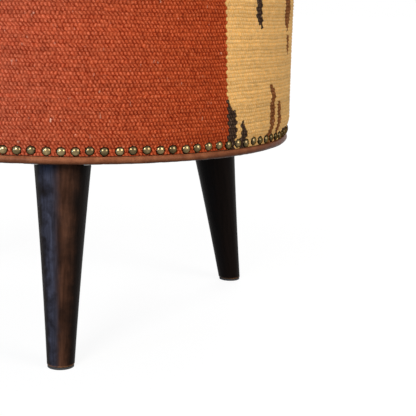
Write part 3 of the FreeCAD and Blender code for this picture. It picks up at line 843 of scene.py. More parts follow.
seat_pad = turned_solid("seat_pad", pad_section(), PAD_STEPS)
even = seat_pad.modifiers.new("even", "REMESH")
even.mode = "VOXEL"
even.voxel_size = PAD_VOXEL
even.use_smooth_shade = True
apply_modifiers(seat_pad)
print("pad remeshed to", len(seat_pad.data.polygons), "faces")

# %% [markdown]
# A short cloth simulation gives the pad its swell: a gentle pressure from inside pushes the skin out, and
# a cap on how far a point may move keeps it within the cover. The last step is kept as a plain mesh, so
# nothing has to be simulated again when the picture is made.

# %% Swell the pad
PAD_PRESSURE = 4.0
PAD_FRAMES = 14
PAD_CAP = 4.0 * MM
PAD_QUALITY = 4
TINY = 1e-9


def points_of(mesh):
    """The mesh's points as rows of three numbers."""
    flat = np.empty(len(mesh.vertices) * 3)
    mesh.vertices.foreach_get("co", flat)
    return flat.reshape(-1, 3)


def run_cloth(piece, pressure, frames):
    """Blow a closed piece up by a cloth simulation without weight."""
    cloth = piece.modifiers.new("swell", "CLOTH")
    cloth.settings.use_pressure = True
    cloth.settings.uniform_pressure_force = pressure
    cloth.settings.effector_weights.gravity = 0
    cloth.settings.quality = PAD_QUALITY
    cloth.collision_settings.use_self_collision = False
    cloth.point_cache.frame_end = frames
    scene = bpy.context.scene
    for number in range(1, frames + 1):
        scene.frame_set(number)
    apply_modifiers(piece)
    scene.frame_set(1)


def swell(piece, pressure, frames, cap, floor):
    """Blow a piece up, but let no point move further than the cap or below the floor."""
    start = points_of(piece.data)
    run_cloth(piece, pressure, frames)
    moved = points_of(piece.data) - start
    length = np.linalg.norm(moved, axis=1, keepdims=True)
    settled = start + moved * np.minimum(1.0, cap / np.maximum(length, TINY))
    settled[:, 2] = np.maximum(settled[:, 2], floor)
    piece.data.vertices.foreach_set("co", settled.ravel())
    piece.data.update()
    print(f"{piece.name} swelled by {float(length.mean()) / MM:.2f} mm on average")


swell(seat_pad, PAD_PRESSURE, PAD_FRAMES, PAD_CAP, foam_low.z)
shade(seat_pad.data, True)
finish_piece(seat_pad, FOAM, ["seat_foam", "seat_wadding"])

# %% [markdown]
# ## Side lining
#
# A thin band of wadding lies between the wall and the cloth and softens the drum's side. It is a ring
# turned from a small section, and its outside is made a little lumpy by a noise, as hand-laid wadding is.

# %% Turn the side lining
LINING_STEPS = 180
LINING_LUMP = 0.5 * MM
LUMP_SCALE = 30.0
LINING_INSIDE = 4.4 * MM
LINING_OUTSIDE = 0.4 * MM
LINING_BEVEL = 1.0 * MM
wadding_low, wadding_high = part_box("side_wadding")


def lathe(name, section, steps, shaped):
    """A closed ring from a closed section of (radius, height) points, each moved by shaped()."""
    count = len(section)
    vertices = []
    faces = []
    for step in range(steps):
        azimuth = 2 * math.pi * step / steps
        for index, (radius, height) in enumerate(section):
            vertices.append(shaped(on_circle(radius, azimuth, height), azimuth, index))
        here = step * count
        ahead = (step + 1) % steps * count
        for index in range(count):
            beside = (index + 1) % count
            faces.append((here + index, ahead + index, ahead + beside, here + beside))
    piece = piece_from(name, vertices, faces)
    face_outwards(piece)
    return piece


def lumpy(point, azimuth, index):
    """The two outer points of the lining's section, pressed in here and there."""
    lump = noise.noise(point * LUMP_SCALE) * LINING_LUMP
    return point * (1 - abs(lump) / SIDE_RADIUS) if index in (1, 2) else point


lining_inner = wadding_high.x - LINING_INSIDE
lining_outer = wadding_high.x - LINING_OUTSIDE
lining_section = [
    (lining_inner, wadding_low.z),
    (lining_outer, wadding_low.z + LINING_BEVEL),
    (lining_outer, wadding_high.z - LINING_BEVEL),
    (lining_inner, wadding_high.z),
]
side_lining = lathe("side_lining", lining_section, LINING_STEPS, lumpy)
finish_piece(side_lining, WADDING, ["side_wadding"])

# %% [markdown]
# ## Kilim yarns
#
# A kilim is woven from a few yarns dyed by hand, so no two floats have quite the same tone, and each row
# differs a little from the next. Here are four: rust, cream, black and brown. A tone is drawn for each
# float and for each row from a fixed seed, so the cloth comes out the same every time.

# %% Yarns and their colours
RUST = dye(207, 105, 72)
CREAM = dye(224, 186, 126)
BLACK = dye(80, 60, 47)
BROWN = dye(152, 96, 54)
YARNS = np.array([RUST[:3], CREAM[:3], BLACK[:3], BROWN[:3]])
RUST_YARN, CREAM_YARN, BLACK_YARN, BROWN_YARN = range(4)
TONE_SPREAD = np.array([0.035, 0.025, 0.06, 0.06])
ROW_SPREAD = 0.03
TONE_LIMITS = (0.6, 1.4)


def dyed(yarns, rows, seed):
    """Colours of the cells: their yarn's, a little uneven from cell to cell and row to row."""
    draw = np.random.default_rng(seed)
    tone = 1 + TONE_SPREAD[yarns] * draw.standard_normal(len(yarns))
    tone *= 1 + ROW_SPREAD * draw.standard_normal(rows.max() + 1)[rows]
    return YARNS[yarns] * np.clip(tone, *TONE_LIMITS)[:, None]


print("yarns:", len(YARNS), "tone spread:", TONE_SPREAD.tolist())

# %% [markdown]
# ## The weave
#
# A kilim is a tapestry weave: each colour goes back and forth over the warp in short floats that sit like
# bricks, half a step apart from row to row. A bump map could hint at that, but the floats are big enough to
# see, so each one is a small raised cell with six corners that it shares with its neighbours, and a ridge
# of two points. First come the points: corners sunk in the gaps, ridges on the crests, all a little astray.

# %% Points of the weave
FLOAT_WIDTH = 3.47 * MM
FLOAT_HEIGHT = 3.54 * MM
FLOAT_POINT = 0.5 * MM
FLOAT_RISE = 0.45 * MM
FLOAT_SINK = 0.7 * MM
RIDGE_HALF = 0.26
FLOAT_SLANT = 0.7 * MM
FLOAT_STRAY = 0.62 * MM
ROW_SWAY = 0.75 * MM
SWAY_WAVES = 9
RISE_SPREAD = 0.6


def row_sway(columns, phase, across):
    """How far the beating of the weft has pushed a row's edge aside."""
    return ROW_SWAY * np.sin(phase + 2 * math.pi * SWAY_WAVES * across / (columns * FLOAT_WIDTH))


def gap_points(columns, half_count, phases, place, draw):
    """Points in the gaps between rows, where the yarn goes under."""
    line = np.arange(half_count)
    straight = line * FLOAT_WIDTH / 2
    points = []
    for row, phase in enumerate(phases):
        rise = np.where((line + row) % 2 == 0, FLOAT_POINT, -FLOAT_POINT)
        stray = draw.uniform(-FLOAT_STRAY, FLOAT_STRAY, (2, half_count))
        across = straight + row_sway(columns, phase, straight) + stray[0]
        points.append(place(across, row * FLOAT_HEIGHT + rise + stray[1] / 2, -FLOAT_SINK))
    return np.concatenate(points)


def crest_points(columns, cell_row, across, up, phases, place, draw):
    """Two points on the crest of each float, which leans as its yarn is twisted."""
    reach = RIDGE_HALF * FLOAT_HEIGHT
    stray = draw.uniform(-FLOAT_STRAY, FLOAT_STRAY, (2, len(across)))
    lift = FLOAT_RISE * (1 + RISE_SPREAD * draw.uniform(-1, 1, len(across)))
    low_sway = row_sway(columns, phases[cell_row], across)
    change = row_sway(columns, phases[cell_row + 1], across) - low_sway
    low_side = across + FLOAT_SLANT + low_sway + change * (0.5 - RIDGE_HALF) + stray[0]
    high_side = across - FLOAT_SLANT + low_sway + change * (0.5 + RIDGE_HALF) + stray[1]
    return np.concatenate([place(low_side, up - reach, lift), place(high_side, up + reach, lift)])


print(f"one float: {FLOAT_WIDTH / MM:.2f} by {FLOAT_HEIGHT / MM:.2f} mm")

# %% [markdown]
# Each cell then gets six faces round its ridge. The colour of its yarn is stored on those faces, so a change
# of colour runs in the saw teeth that the half steps make, as in real tapestry. How high a point lies is
# stored on the points, and the yarn's shader reads both: it paints shade into the gaps and a highlight on the
# crests.

# %% Faces and marks of the weave
def cell_faces(half_count, cell_row, middle, corner_count):
    """Four triangles and two quads for every cell, as arrays of point numbers."""
    lower = cell_row * half_count
    upper = lower + half_count
    before, at, after = (middle - 1) % half_count, middle % half_count, (middle + 1) % half_count
    foot = corner_count + np.arange(len(middle))
    head = foot + len(middle)
    shapes = (
        (lower + at, foot, lower + before),
        (lower + at, lower + after, foot),
        (upper + at, upper + before, head),
        (upper + at, head, upper + after),
        (lower + before, foot, head, upper + before),
        (lower + after, upper + after, head, foot),
    )
    return [np.stack(shape, axis=1) for shape in shapes]


def mark(piece, name, kind, domain, field, values):
    """Store values on a piece's faces or points."""
    store = piece.data.attributes.new(name, kind, domain).data
    store.foreach_set(field, values.astype(np.float32).ravel())


print("faces of one float:", len(cell_faces(4, np.array([0]), np.array([1]), 8)))

# %% [markdown]
# One function weaves any sheet. It asks where a point of the flat cloth goes, which cells to keep and what
# colour they have, so the band round the side and the disc on top can share it. Points that no cell uses
# are dropped.

# %% Weave a piece
GAP_SPREAD = 0.35
CREST_LEAST = 0.7


def weave_piece(name, columns, rows, place, around, wanted, colour):
    """A woven sheet. place(across, up, lift) gives points; wanted and colour work on cell centres."""
    half_count = 2 * columns if around else 2 * columns + 2
    draw = np.random.default_rng(columns)
    phases = draw.uniform(0, 2 * math.pi, rows + 1)
    corners = gap_points(columns, half_count, phases, place, draw)
    cell_row, cell_column = np.divmod(np.arange(rows * columns), columns)
    middle = 2 * cell_column + 1 + cell_row % 2
    kept = wanted(middle * FLOAT_WIDTH / 2, (cell_row + 0.5) * FLOAT_HEIGHT)
    cell_row, middle = cell_row[kept], middle[kept]
    across = middle * FLOAT_WIDTH / 2
    up = (cell_row + 0.5) * FLOAT_HEIGHT
    ridges = crest_points(columns, cell_row, across, up, phases, place, draw)
    shapes = cell_faces(half_count, cell_row, middle, len(corners))
    points = np.concatenate([corners, ridges])
    used = np.zeros(len(points), bool)
    for shape in shapes:
        used[shape] = True
    number = np.cumsum(used) - 1
    faces = [face for shape in shapes for face in number[shape].tolist()]
    piece = piece_from(name, points[used].tolist(), faces)
    shades = np.c_[colour(across, up, cell_row), np.ones(len(across))]
    mark(piece, "yarn", "FLOAT_COLOR", "FACE", "color", np.tile(shades, (len(shapes), 1)))
    # Painted shade and highlight: low values in the gaps darken the yarn, high ones on the crests keep it
    in_gaps = draw.uniform(0, GAP_SPREAD, len(corners))
    on_crests = draw.uniform(CREST_LEAST, 1, len(ridges))
    mark(piece, "lie", "FLOAT", "POINT", "value", np.concatenate([in_gaps, on_crests])[used])
    return piece


print(f"gaps lie below {GAP_SPREAD}, crests above {CREST_LEAST}")

# %% [markdown]
# ## The pattern
#
# The cloth is laid out in upright blocks, rust and cream by turns. The cream blocks carry jagged upright
# dashes in black and brown, a common kilim figure. A painted mask would need a picture, so each dash is a
# short list of rows: how high, and how far to the left and the right. Those that show from the front are
# written out by size.

# %% Blocks, and the dashes seen from the front
BLOCK_EDGES = (42.0, 128.0, 214.0, 310.0)
EDGE_LEAN = -0.0168
MM_PER_DEGREE = SIDE_RADIUS / MM * math.pi / 180

# Each dash: yarn, then rows of (height above the rim, left, right) in mm, right of the block's edge
FRONT_DASHES = (
    (BLACK_YARN, ((200, 45.6, 56.0), (131, 46.0, 56.4), (119, 55.0, 57.0))),
    (BROWN_YARN, ((175, 119.0, 142.0), (146, 119.6, 142.3), (130, 114.8, 139.8), (117, 126.0, 128.0))),
    (BROWN_YARN, ((113, 126.0, 135.5), (101.5, 128.4, 137.4), (90, 131.5, 133.0))),
    (BLACK_YARN, ((55, -0.7, 0.8), (36.3, -0.6, 12.2), (24.5, 0.3, 11.2), (0, 0.7, 11.2))),
    (BLACK_YARN, ((31, 19.8, 21.8), (21.6, 18.6, 28.6), (13.0, 19.4, 29.4), (2, 19.0, 29.8))),
    (BROWN_YARN, (
        (65, 74.0, 77.0), (53.2, 76.0, 90.6), (49.3, 79.5, 86.5),
        (45, 74.8, 86), (28.6, 75.2, 86.3), (2, 69, 79.5),
    )),
    (BROWN_YARN, (
        (46.3, 97.0, 99.0), (43.6, 94.6, 105.3), (26.7, 95.3, 106.5),
        (13.4, 93.0, 99.8), (4, 92.0, 97.0),
    )),
    (BLACK_YARN, ((15.5, 120.8, 146.0), (2, 121.0, 142.0))),
)


def paint_dashes(yarns, across, up, dashes):
    """Give the cells inside each dash its yarn."""
    for yarn, rows in dashes:
        heights, lefts, rights = zip(*rows[::-1])
        left = np.interp(up, heights, lefts)
        right = np.interp(up, heights, rights)
        inside = (up >= heights[0]) & (up <= heights[-1]) & (across >= left) & (across <= right)
        yarns[inside] = yarn


print("dashes seen from the front:", len(FRONT_DASHES))

# %% [markdown]
# The rest of the cream ground is out of sight in the photograph. It is filled by the same kind of figure, a
# tall dash with a shorter one beside it, standing on the rim or hanging from the seam at uneven steps.

# %% Figures for the rest of the ground
FIGURE_STEP = 64.0
STEP_SPREAD = (0.85, 1.2)
FIGURE_BESIDE = 20.0
BESIDE_SPREAD = (0.9, 1.2)
SHORT_SHARE = (0.5, 0.75)
SHORT_WIDTH = 0.8
DASH_WIDTH = (8.5, 13.5)
STANDING = (44.0, 68.0)
HANGING = (66.0, 92.0)

# Rows of a dash from its point to its blunt end: share of its length, then left and right shares of its width
DASH_ROWS = ((1.0, 0.1, 0.3), (0.78, -0.05, 1.0), (0.55, 0.1, 0.9), (0.3, -0.1, 0.95), (0.0, 0.05, 0.85))
DASH_JAG = 0.13


def dash(yarn, left, foot, length, width, hanging, draw):
    """One jagged dash, pointed at its top, or at its foot where it hangs."""
    rows = []
    for share, first, last in DASH_ROWS:
        jag = draw.uniform(-DASH_JAG, DASH_JAG, 2)
        height = foot + length * (1 - share if hanging else share)
        rows.append((height, left + width * (first + jag[0]), left + width * (last + jag[1])))
    return yarn, sorted(rows, reverse=True)


def figure_row(start, end, level, reach, hanging, seed):
    """Pairs of dashes at uneven steps, a tall one and a shorter one beside it, black and brown by turns."""
    draw = np.random.default_rng(seed)
    dashes = []
    left = start
    while left < end:
        yarn = (BLACK_YARN, BROWN_YARN)[len(dashes) // 2 % 2]
        tall = draw.uniform(*reach)
        short = tall * draw.uniform(*SHORT_SHARE)
        width = draw.uniform(*DASH_WIDTH)
        beside = left + FIGURE_BESIDE * draw.uniform(*BESIDE_SPREAD)
        for place, length, share in ((left, tall, 1.0), (beside, short, SHORT_WIDTH)):
            foot = level - length if hanging else level
            dashes.append(dash(yarn, place, foot, length, width * share, hanging, draw))
        left += FIGURE_STEP * draw.uniform(*STEP_SPREAD)
    return dashes


print(f"dashes stand {STANDING[0]:.0f} to {STANDING[1]:.0f} mm high")

# %% [markdown]
# Each cell of the side takes its yarn from where it lies: first its block, then any dash that covers it.
# Dashes keep to the cream ground, apart from the one that starts on the block's edge.

# %% Yarn of each cell of the side
DASH_FOOT = 0.0
DASH_TOP = 205.0
FIRST_FILL = (178.0, 200.0)
FIRST_SPARE = 24.0
SECOND_FILL = (10.0, 48.0)
SECOND_SPARE = 30.0
EDGE_REACH = 5.0
FIRST_SEEDS = (3, 4)
SECOND_SEEDS = (8, 9)


def fill_block(yarns, across, height, starts, end, seeds):
    """Fill a cream block with a standing and a hanging row of figures."""
    standing = figure_row(starts[0], end, DASH_FOOT, STANDING, hanging=False, seed=seeds[0])
    hanging = figure_row(starts[1], end, DASH_TOP, HANGING, hanging=True, seed=seeds[1])
    paint_dashes(yarns, across, height, standing + hanging)


def side_yarns(azimuth, height):
    """Yarn of each side cell from its azimuth in degrees and its height above the rim in mm."""
    turned = (azimuth - EDGE_LEAN * height - BLOCK_EDGES[0]) % 360
    edges = [edge - BLOCK_EDGES[0] for edge in BLOCK_EDGES]
    cream = (turned < edges[1]) | ((turned >= edges[2]) & (turned < edges[3]))
    yarns = np.where(cream, CREAM_YARN, RUST_YARN)
    across = turned * MM_PER_DEGREE
    whole = 360 * MM_PER_DEGREE
    first_end, start, end = (edge * MM_PER_DEGREE for edge in edges[1:])
    fill_block(yarns, across, height, FIRST_FILL, first_end - FIRST_SPARE, FIRST_SEEDS)
    # The first dash starts left of the block's edge, where the distance round the drum is nearly whole
    at_edge = across > whole - EDGE_REACH
    paint_dashes(yarns, np.where(at_edge, across - whole, across), height, FRONT_DASHES)
    second_starts = [start + offset for offset in SECOND_FILL]
    fill_block(yarns, across, height, second_starts, end - SECOND_SPARE, SECOND_SEEDS)
    yarns[~cream & ~at_edge] = RUST_YARN
    return yarns


counts = np.bincount(side_yarns(np.arange(0.0, 360.0), np.full(360, 30.0)), minlength=len(YARNS))
print("degrees of each yarn 30 mm above the rim:", counts.tolist())

# %% [markdown]
# ## The side cover
#
# The side is one band of kilim, pulled over the wadding, nailed along the rim and sewn into the piping at
# the top. Its section is a hem, a swell, a straight side and a rounded shoulder. The band is measured along
# that section, so the floats keep their height on the shoulder too.

# %% Section of the side
SIDE_COLUMNS = round(2 * math.pi * SIDE_RADIUS / FLOAT_WIDTH)
SIDE_STEP = 2 * math.pi / SIDE_COLUMNS
SIDE_SAMPLES = 400


def smooth_step(low, high, value):
    """0 below low, 1 above high, and an even rise between them."""
    share = np.clip((value - low) / (high - low), 0.0, 1.0)
    return share * share * (3 - 2 * share)


def side_radius(height):
    """Radius of the side cover at a height: hem, swell, straight side and shoulder."""
    swell_share = smooth_step(NAIL_ROW, HEM_TOP + SWELL_RISE / 2, height)
    radius = HEM_RADIUS + (SIDE_RADIUS - HEM_RADIUS) * swell_share
    end = SIDE_RADIUS - (SEAM_CIRCLE + COVER_THICKNESS / 2)
    rise = side_high.z - SHOULDER
    bend = (end**2 + rise**2) / (2 * end)
    above = np.clip(height - SHOULDER, 0, rise)
    return radius - (bend - np.sqrt(bend**2 - above**2))


side_heights = np.linspace(side_low.z, side_high.z, SIDE_SAMPLES)
side_steps = np.hypot(np.diff(side_heights), np.diff(side_radius(side_heights)))
side_lengths = np.concatenate([[0], np.cumsum(side_steps)])
SIDE_LENGTH = float(side_lengths[-1])
SIDE_ROWS = int(SIDE_LENGTH / FLOAT_HEIGHT)
print(f"side: {SIDE_COLUMNS} floats round, {SIDE_ROWS} rows, {SIDE_LENGTH:.4f} m along its section")

# %% [markdown]
# Cloth over stuffing is never quite true. The rows wave a little, the side bulges softly, the cloth dips
# where its two ends are sewn together at the back, and each nail presses it flat round its head. All of
# that is added while a point is placed, so no sculpting is needed afterwards.

# %% Place a point of the side
SIDE_BULGE = 0.5 * MM
BULGE_TURNS = 5
BULGE_START = 1.3
BULGE_CLIMB = 24
BULGE_SKEW = 3
SOFT_RISE = 3 * SWELL_RISE
NAIL_COUNT = 112
NAIL_START = math.radians(0.45)
NAIL_REACH = (4.2 * MM, 6.8 * MM)
NAIL_PRESS = 0.3 * MM
JOIN_DEPTH = 1.2 * MM
JOIN_WIDTH = 2.0 * MM
JOIN_AT = math.radians(BLOCK_EDGES[2])
ROW_WAVE = 0.28 * MM
STEADY_ROWS = 3 * FLOAT_HEIGHT

# Each wave of the rows: its size, its turns round the drum, its change per metre of height, its start
ROW_WAVES = ((1.0, 11, 47, 0), (0.7, 29, -80, 1), (0.4, 61, 0, 2))


def edge_lean(height):
    """How far the blocks' edges lean aside at a height."""
    return math.radians(EDGE_LEAN) * (height - RIM) / MM


def side_spot(across, up):
    """Azimuth and height of a point of the band, given along it and up it."""
    height = np.interp(np.clip(up, 0, SIDE_LENGTH), side_lengths, side_heights)
    return across / FLOAT_WIDTH * SIDE_STEP + edge_lean(height), height


def pressed(azimuth, height):
    """How far the nearest nail presses the cloth in, from 0 to 1."""
    step = 2 * math.pi / NAIL_COUNT
    aside = (azimuth - NAIL_START + step / 2) % step - step / 2
    return 1 - smooth_step(*NAIL_REACH, np.hypot(aside * HEM_RADIUS, height - NAIL_ROW))


def side_place(across, up, lift):
    """Points of the side cover from their place on the flat band."""
    turns = 2 * math.pi * across / (SIDE_COLUMNS * FLOAT_WIDTH)
    free = smooth_step(0, STEADY_ROWS, up) * smooth_step(0, STEADY_ROWS, SIDE_LENGTH - up)
    wave = sum(size * np.sin(times * turns + climb * up + start) for size, times, climb, start in ROW_WAVES)
    azimuth, height = side_spot(across, up + ROW_WAVE * free * wave)
    soft = smooth_step(HEM_TOP, HEM_TOP + SOFT_RISE, height)
    bulge = SIDE_BULGE * soft * np.sin(BULGE_TURNS * azimuth + BULGE_START)
    bulge *= np.sin(BULGE_CLIMB * height + BULGE_SKEW * azimuth)
    join = SIDE_RADIUS * (azimuth - edge_lean(height) - JOIN_AT)
    dip = JOIN_DEPTH * np.exp(-((join / JOIN_WIDTH) ** 2))
    lift = lift - pressed(azimuth, height) * (np.maximum(lift, 0) + NAIL_PRESS)
    radius = side_radius(height) + lift + bulge - dip
    return np.stack([radius * np.sin(azimuth), -radius * np.cos(azimuth), height], axis=1)


print(f"nails press the cloth in within {NAIL_REACH[0] / MM:.1f} to {NAIL_REACH[1] / MM:.1f} mm")

# %% [markdown]
# The rust turns slowly from one tone to a deeper one round the drum, as painted shade where the light falls
# off.
# The band is then woven and given its finish.

# %% Weave the side
# Painted shade: how far the rust darkens round the drum, in red, green and blue
PAINTED_SHADE_CHANGE = np.array([0.155, 0.39, 0.7])
PAINTED_SHADE_TURNS = 2
PAINTED_SHADE_START = -0.1
SIDE_SEED = 11


def side_colour(across, up, rows):
    """Colours of the side's cells; the rust is painted darker round the drum as shade."""
    azimuth, height = side_spot(across, up)
    yarns = side_yarns(np.degrees(azimuth), (height - RIM) / MM)
    colours = dyed(yarns, rows, SIDE_SEED)
    painted_shade = 0.5 + 0.5 * np.sin(PAINTED_SHADE_TURNS * azimuth + PAINTED_SHADE_START)
    rust = yarns == RUST_YARN
    colours[rust] *= 1 - painted_shade[rust, None] * PAINTED_SHADE_CHANGE
    return colours


def every_cell(across, up):
    """The band has no cells to leave out."""
    return np.ones(len(across), bool)


kilim_side = weave_piece(
    "kilim_side", SIDE_COLUMNS, SIDE_ROWS, side_place, around=True, wanted=every_cell, colour=side_colour,
)
finish_piece(kilim_side, KILIM, ["side_cover"])

# %% [markdown]
# ## The top cover
#
# The top is a disc of the same cloth, drawn over the crowned pad and sewn into the piping. Its weave runs
# from front to back. The disc is laid on the simulated pad by casting a ray down to the pad at each point,
# so the cloth follows every swell of the stuffing.

# %% Lay the disc on the pad
TOP_COLUMNS = int(2 * TOP_RADIUS / FLOAT_WIDTH) + 2
TOP_ROWS = int(2 * TOP_RADIUS / FLOAT_HEIGHT) + 2
EDGE_BLEND = 30.0 * MM
EDGE_KEEP = FLOAT_WIDTH / 3
RAY_START = 1.0
DOWNWARDS = Vector((0, 0, -1))
PAD_TREE = BVHTree.FromPolygons(
    [vertex.co for vertex in seat_pad.data.vertices],
    [list(face.vertices) for face in seat_pad.data.polygons],
)


def pad_height(x, y):
    """Height of the stuffed pad under a point, or of the plain crown where no ray meets it."""
    hit = PAD_TREE.ray_cast(Vector((x, y, RAY_START)), DOWNWARDS)[0]
    plain = CROWN_EDGE + float(crown_height(math.hypot(x, y)))
    if hit is None:
        return plain
    share = float(smooth_step(0, EDGE_BLEND, TOP_RADIUS - math.hypot(x, y)))
    return plain * (1 - share) + (hit.z + PAD_TOP_GAP) * share


def top_spot(across, up):
    """Place on the top, from its middle to the right and to the back."""
    return across - TOP_COLUMNS * FLOAT_WIDTH / 2, up - TOP_ROWS * FLOAT_HEIGHT / 2


def top_place(across, up, lift):
    """Points of the top cover; those past the edge are drawn in to it."""
    x, y = top_spot(across, up)
    hold = np.minimum(1.0, TOP_RADIUS / np.maximum(np.hypot(x, y), TINY))
    x, y = x * hold, y * hold
    height = np.array([pad_height(a, b) for a, b in zip(x, y)])
    return np.stack([x, y, height + lift], axis=1)


def top_wanted(across, up):
    """The cells that the disc keeps."""
    return np.hypot(*top_spot(across, up)) < TOP_RADIUS + EDGE_KEEP


print(f"top: {TOP_COLUMNS} by {TOP_ROWS} floats, {pad_height(0.0, 0.0):.4f} m high in the middle")

# %% [markdown]
# The photograph cuts the top off, so its colours are a guess: the rust block of the front runs on over the
# top as a wide band, with cream and a few dashes to the left and right of it.

# %% Weave the top
TOP_EDGE_RIGHT = (158.0, 195.0)
TOP_EDGE_LEFT = (-182.0, -135.0)
TOP_LEVELS = (-160.0, -10.0, 20.0, 170.0)
TOP_RIGHT_SPAN = (6.0, 90.0)
TOP_LEFT_SPAN = (-95.0, -24.0)
TOP_FIRST_SEED = 21
TOP_LEFT_SEED = 9
TOP_SEED = 12


def top_colour(across, up, rows):
    """Colours of the top's cells."""
    x, y = top_spot(across, up)
    share = (y / TOP_RADIUS + 1) / 2
    right = TOP_EDGE_RIGHT[0] + (TOP_EDGE_RIGHT[1] - TOP_EDGE_RIGHT[0]) * share
    left = TOP_EDGE_LEFT[0] + (TOP_EDGE_LEFT[1] - TOP_EDGE_LEFT[0]) * share
    x, y = x / MM, y / MM
    rust = (x <= right) & (x >= left)
    yarns = np.where(rust, RUST_YARN, CREAM_YARN)
    for seed, level in enumerate(TOP_LEVELS, TOP_FIRST_SEED):
        hanging = seed % 2 == 0
        paint_dashes(yarns, x - right, y, figure_row(*TOP_RIGHT_SPAN, level, STANDING, hanging, seed))
        left_row = figure_row(*TOP_LEFT_SPAN, level, STANDING, hanging, seed + TOP_LEFT_SEED)
        paint_dashes(yarns, x - left, y, left_row)
    yarns[rust] = RUST_YARN
    return dyed(yarns, rows, TOP_SEED)


kilim_top = weave_piece(
    "kilim_top", TOP_COLUMNS, TOP_ROWS, top_place, around=False, wanted=top_wanted, colour=top_colour,
)
finish_piece(kilim_top, KILIM, ["top_cover"])

# %% [markdown]
# ## Leather piping
#
# Piping is a strip of leather sewn round a cord. A plain ring would look like plastic tube: real leather
# puckers where it is bent and pulled by the stitches, so the ring's skin is moved by two noises, a slow one
# for the hand-drawn line and a quick one for the creases across it.

# %% Piping rings
PIPING_SIDES = 18
PIPING_STEPS = 620
CREASE_DEPTH = 0.32 * MM
CREASE_SCALE = 42
CREASE_TURN = 0.6
CREASE_SHARE = 1.4
FINE_SCALE = 120
FINE_TURN = 0.9
FINE_SHARE = 0.6
DRIFT = 0.35 * MM
DRIFT_SCALE = 6
CREASE_SKEW = 0.12
RIM_SEED = 4.0
SEAM_SEED = 9.0


def piping_ring(name, circle, level, seed):
    """A ring of piping, creased across and drifting a little up and down."""
    angles = [2 * math.pi * side / PIPING_SIDES for side in range(PIPING_SIDES)]
    section = []
    for angle in angles:
        section.append((circle + PIPING_RADIUS * math.cos(angle), level + PIPING_RADIUS * math.sin(angle)))

    def pucker(point, azimuth, index):
        """Press a point of the skin in along the creases and let it drift with the hand-drawn line."""
        outwards, upwards = math.cos(angles[index]), math.sin(angles[index])
        skin = on_circle(outwards, azimuth, upwards)
        along = Vector((math.sin(azimuth), math.cos(azimuth), CREASE_SKEW * outwards))
        crease = noise.noise(along * CREASE_SCALE + Vector((seed, 0, upwards * CREASE_TURN)))
        fine = noise.noise(along * FINE_SCALE + Vector((0, seed, upwards * FINE_TURN)))
        drift = noise.noise(along * DRIFT_SCALE + Vector((0, 0, seed)))
        depth = -CREASE_DEPTH * (max(0.0, crease) * CREASE_SHARE + FINE_SHARE * abs(fine))
        return point + skin * depth + Vector((0, 0, drift * DRIFT))

    return lathe(name, section, PIPING_STEPS, pucker)


rim_piping = piping_ring("rim_piping", RIM_CIRCLE, RIM, RIM_SEED)
finish_piece(rim_piping, LEATHER, ["lower_piping"])
top_piping = piping_ring("top_piping", SEAM_CIRCLE, SEAM, SEAM_SEED)
finish_piece(top_piping, LEATHER, ["seam_piping"])

# %% [markdown]
# ## A ring of copies
#
# Nails and staples both repeat round a circle, set by hand and so never quite even. Copies made one by one
# in a loop would do, but Geometry Nodes can place any number of them from one tree: a point for each copy,
# a small random slip and tilt from a fixed seed, and a chance number that the shader can read later.

# %% Where each copy stands
RING_INPUTS = (
    ("Count", "NodeSocketInt"),
    ("Radius", FLOAT),
    ("Height", FLOAT),
    ("Start", FLOAT),
    ("Slip", FLOAT),
    ("Tilt", FLOAT),
    ("Seed", "NodeSocketInt"),
    ("Down", FLOAT),
    ("Copy", "NodeSocketObject"),
    ("Finish", "NodeSocketMaterial"),
)


def random_between(tree, seed, spread, channel):
    """A random number from minus spread to plus spread for each copy."""
    item = tree.nodes.new("FunctionNodeRandomValue")
    item.data_type = "FLOAT"
    tree.links.new(spread, item.inputs[3])
    tree.links.new(math_node(tree, "MULTIPLY", spread, -1.0), item.inputs[2])
    tree.links.new(math_node(tree, "ADD", seed, float(channel)), item.inputs["Seed"])
    return item.outputs[1]


def ring_azimuths(tree, given):
    """Azimuth of each copy, with its sine and the cosine towards the front."""
    step = math_node(tree, "DIVIDE", 2 * math.pi, given["Count"])
    index = tree.nodes.new("GeometryNodeInputIndex").outputs[0]
    slip = random_between(tree, given["Seed"], given["Slip"], 0)
    turned = math_node(tree, "ADD", math_node(tree, "MULTIPLY", index, step), given["Start"])
    azimuth = math_node(tree, "ADD", turned, math_node(tree, "DIVIDE", slip, given["Radius"]))
    sine = math_node(tree, "SINE", azimuth)
    cosine = math_node(tree, "MULTIPLY", math_node(tree, "COSINE", azimuth), -1.0)
    return azimuth, sine, cosine


def ring_spots(tree, given, sine, cosine):
    """Place of each copy on the circle."""
    spot = tree.nodes.new("ShaderNodeCombineXYZ")
    rise = math_node(tree, "ADD", given["Height"], random_between(tree, given["Seed"], given["Slip"], 1))
    tree.links.new(math_node(tree, "MULTIPLY", sine, given["Radius"]), spot.inputs[0])
    tree.links.new(math_node(tree, "MULTIPLY", cosine, given["Radius"]), spot.inputs[1])
    tree.links.new(rise, spot.inputs[2])
    return spot.outputs[0]


print("inputs of the ring:", [label for label, _ in RING_INPUTS])

# %% [markdown]
# A nail points outwards and a staple down. Each copy is spun to its azimuth, and its Z axis is then aligned
# to that direction with a little random tilt. Turning by three angles would also work, but an alignment
# needs no thought about the order of the turns.

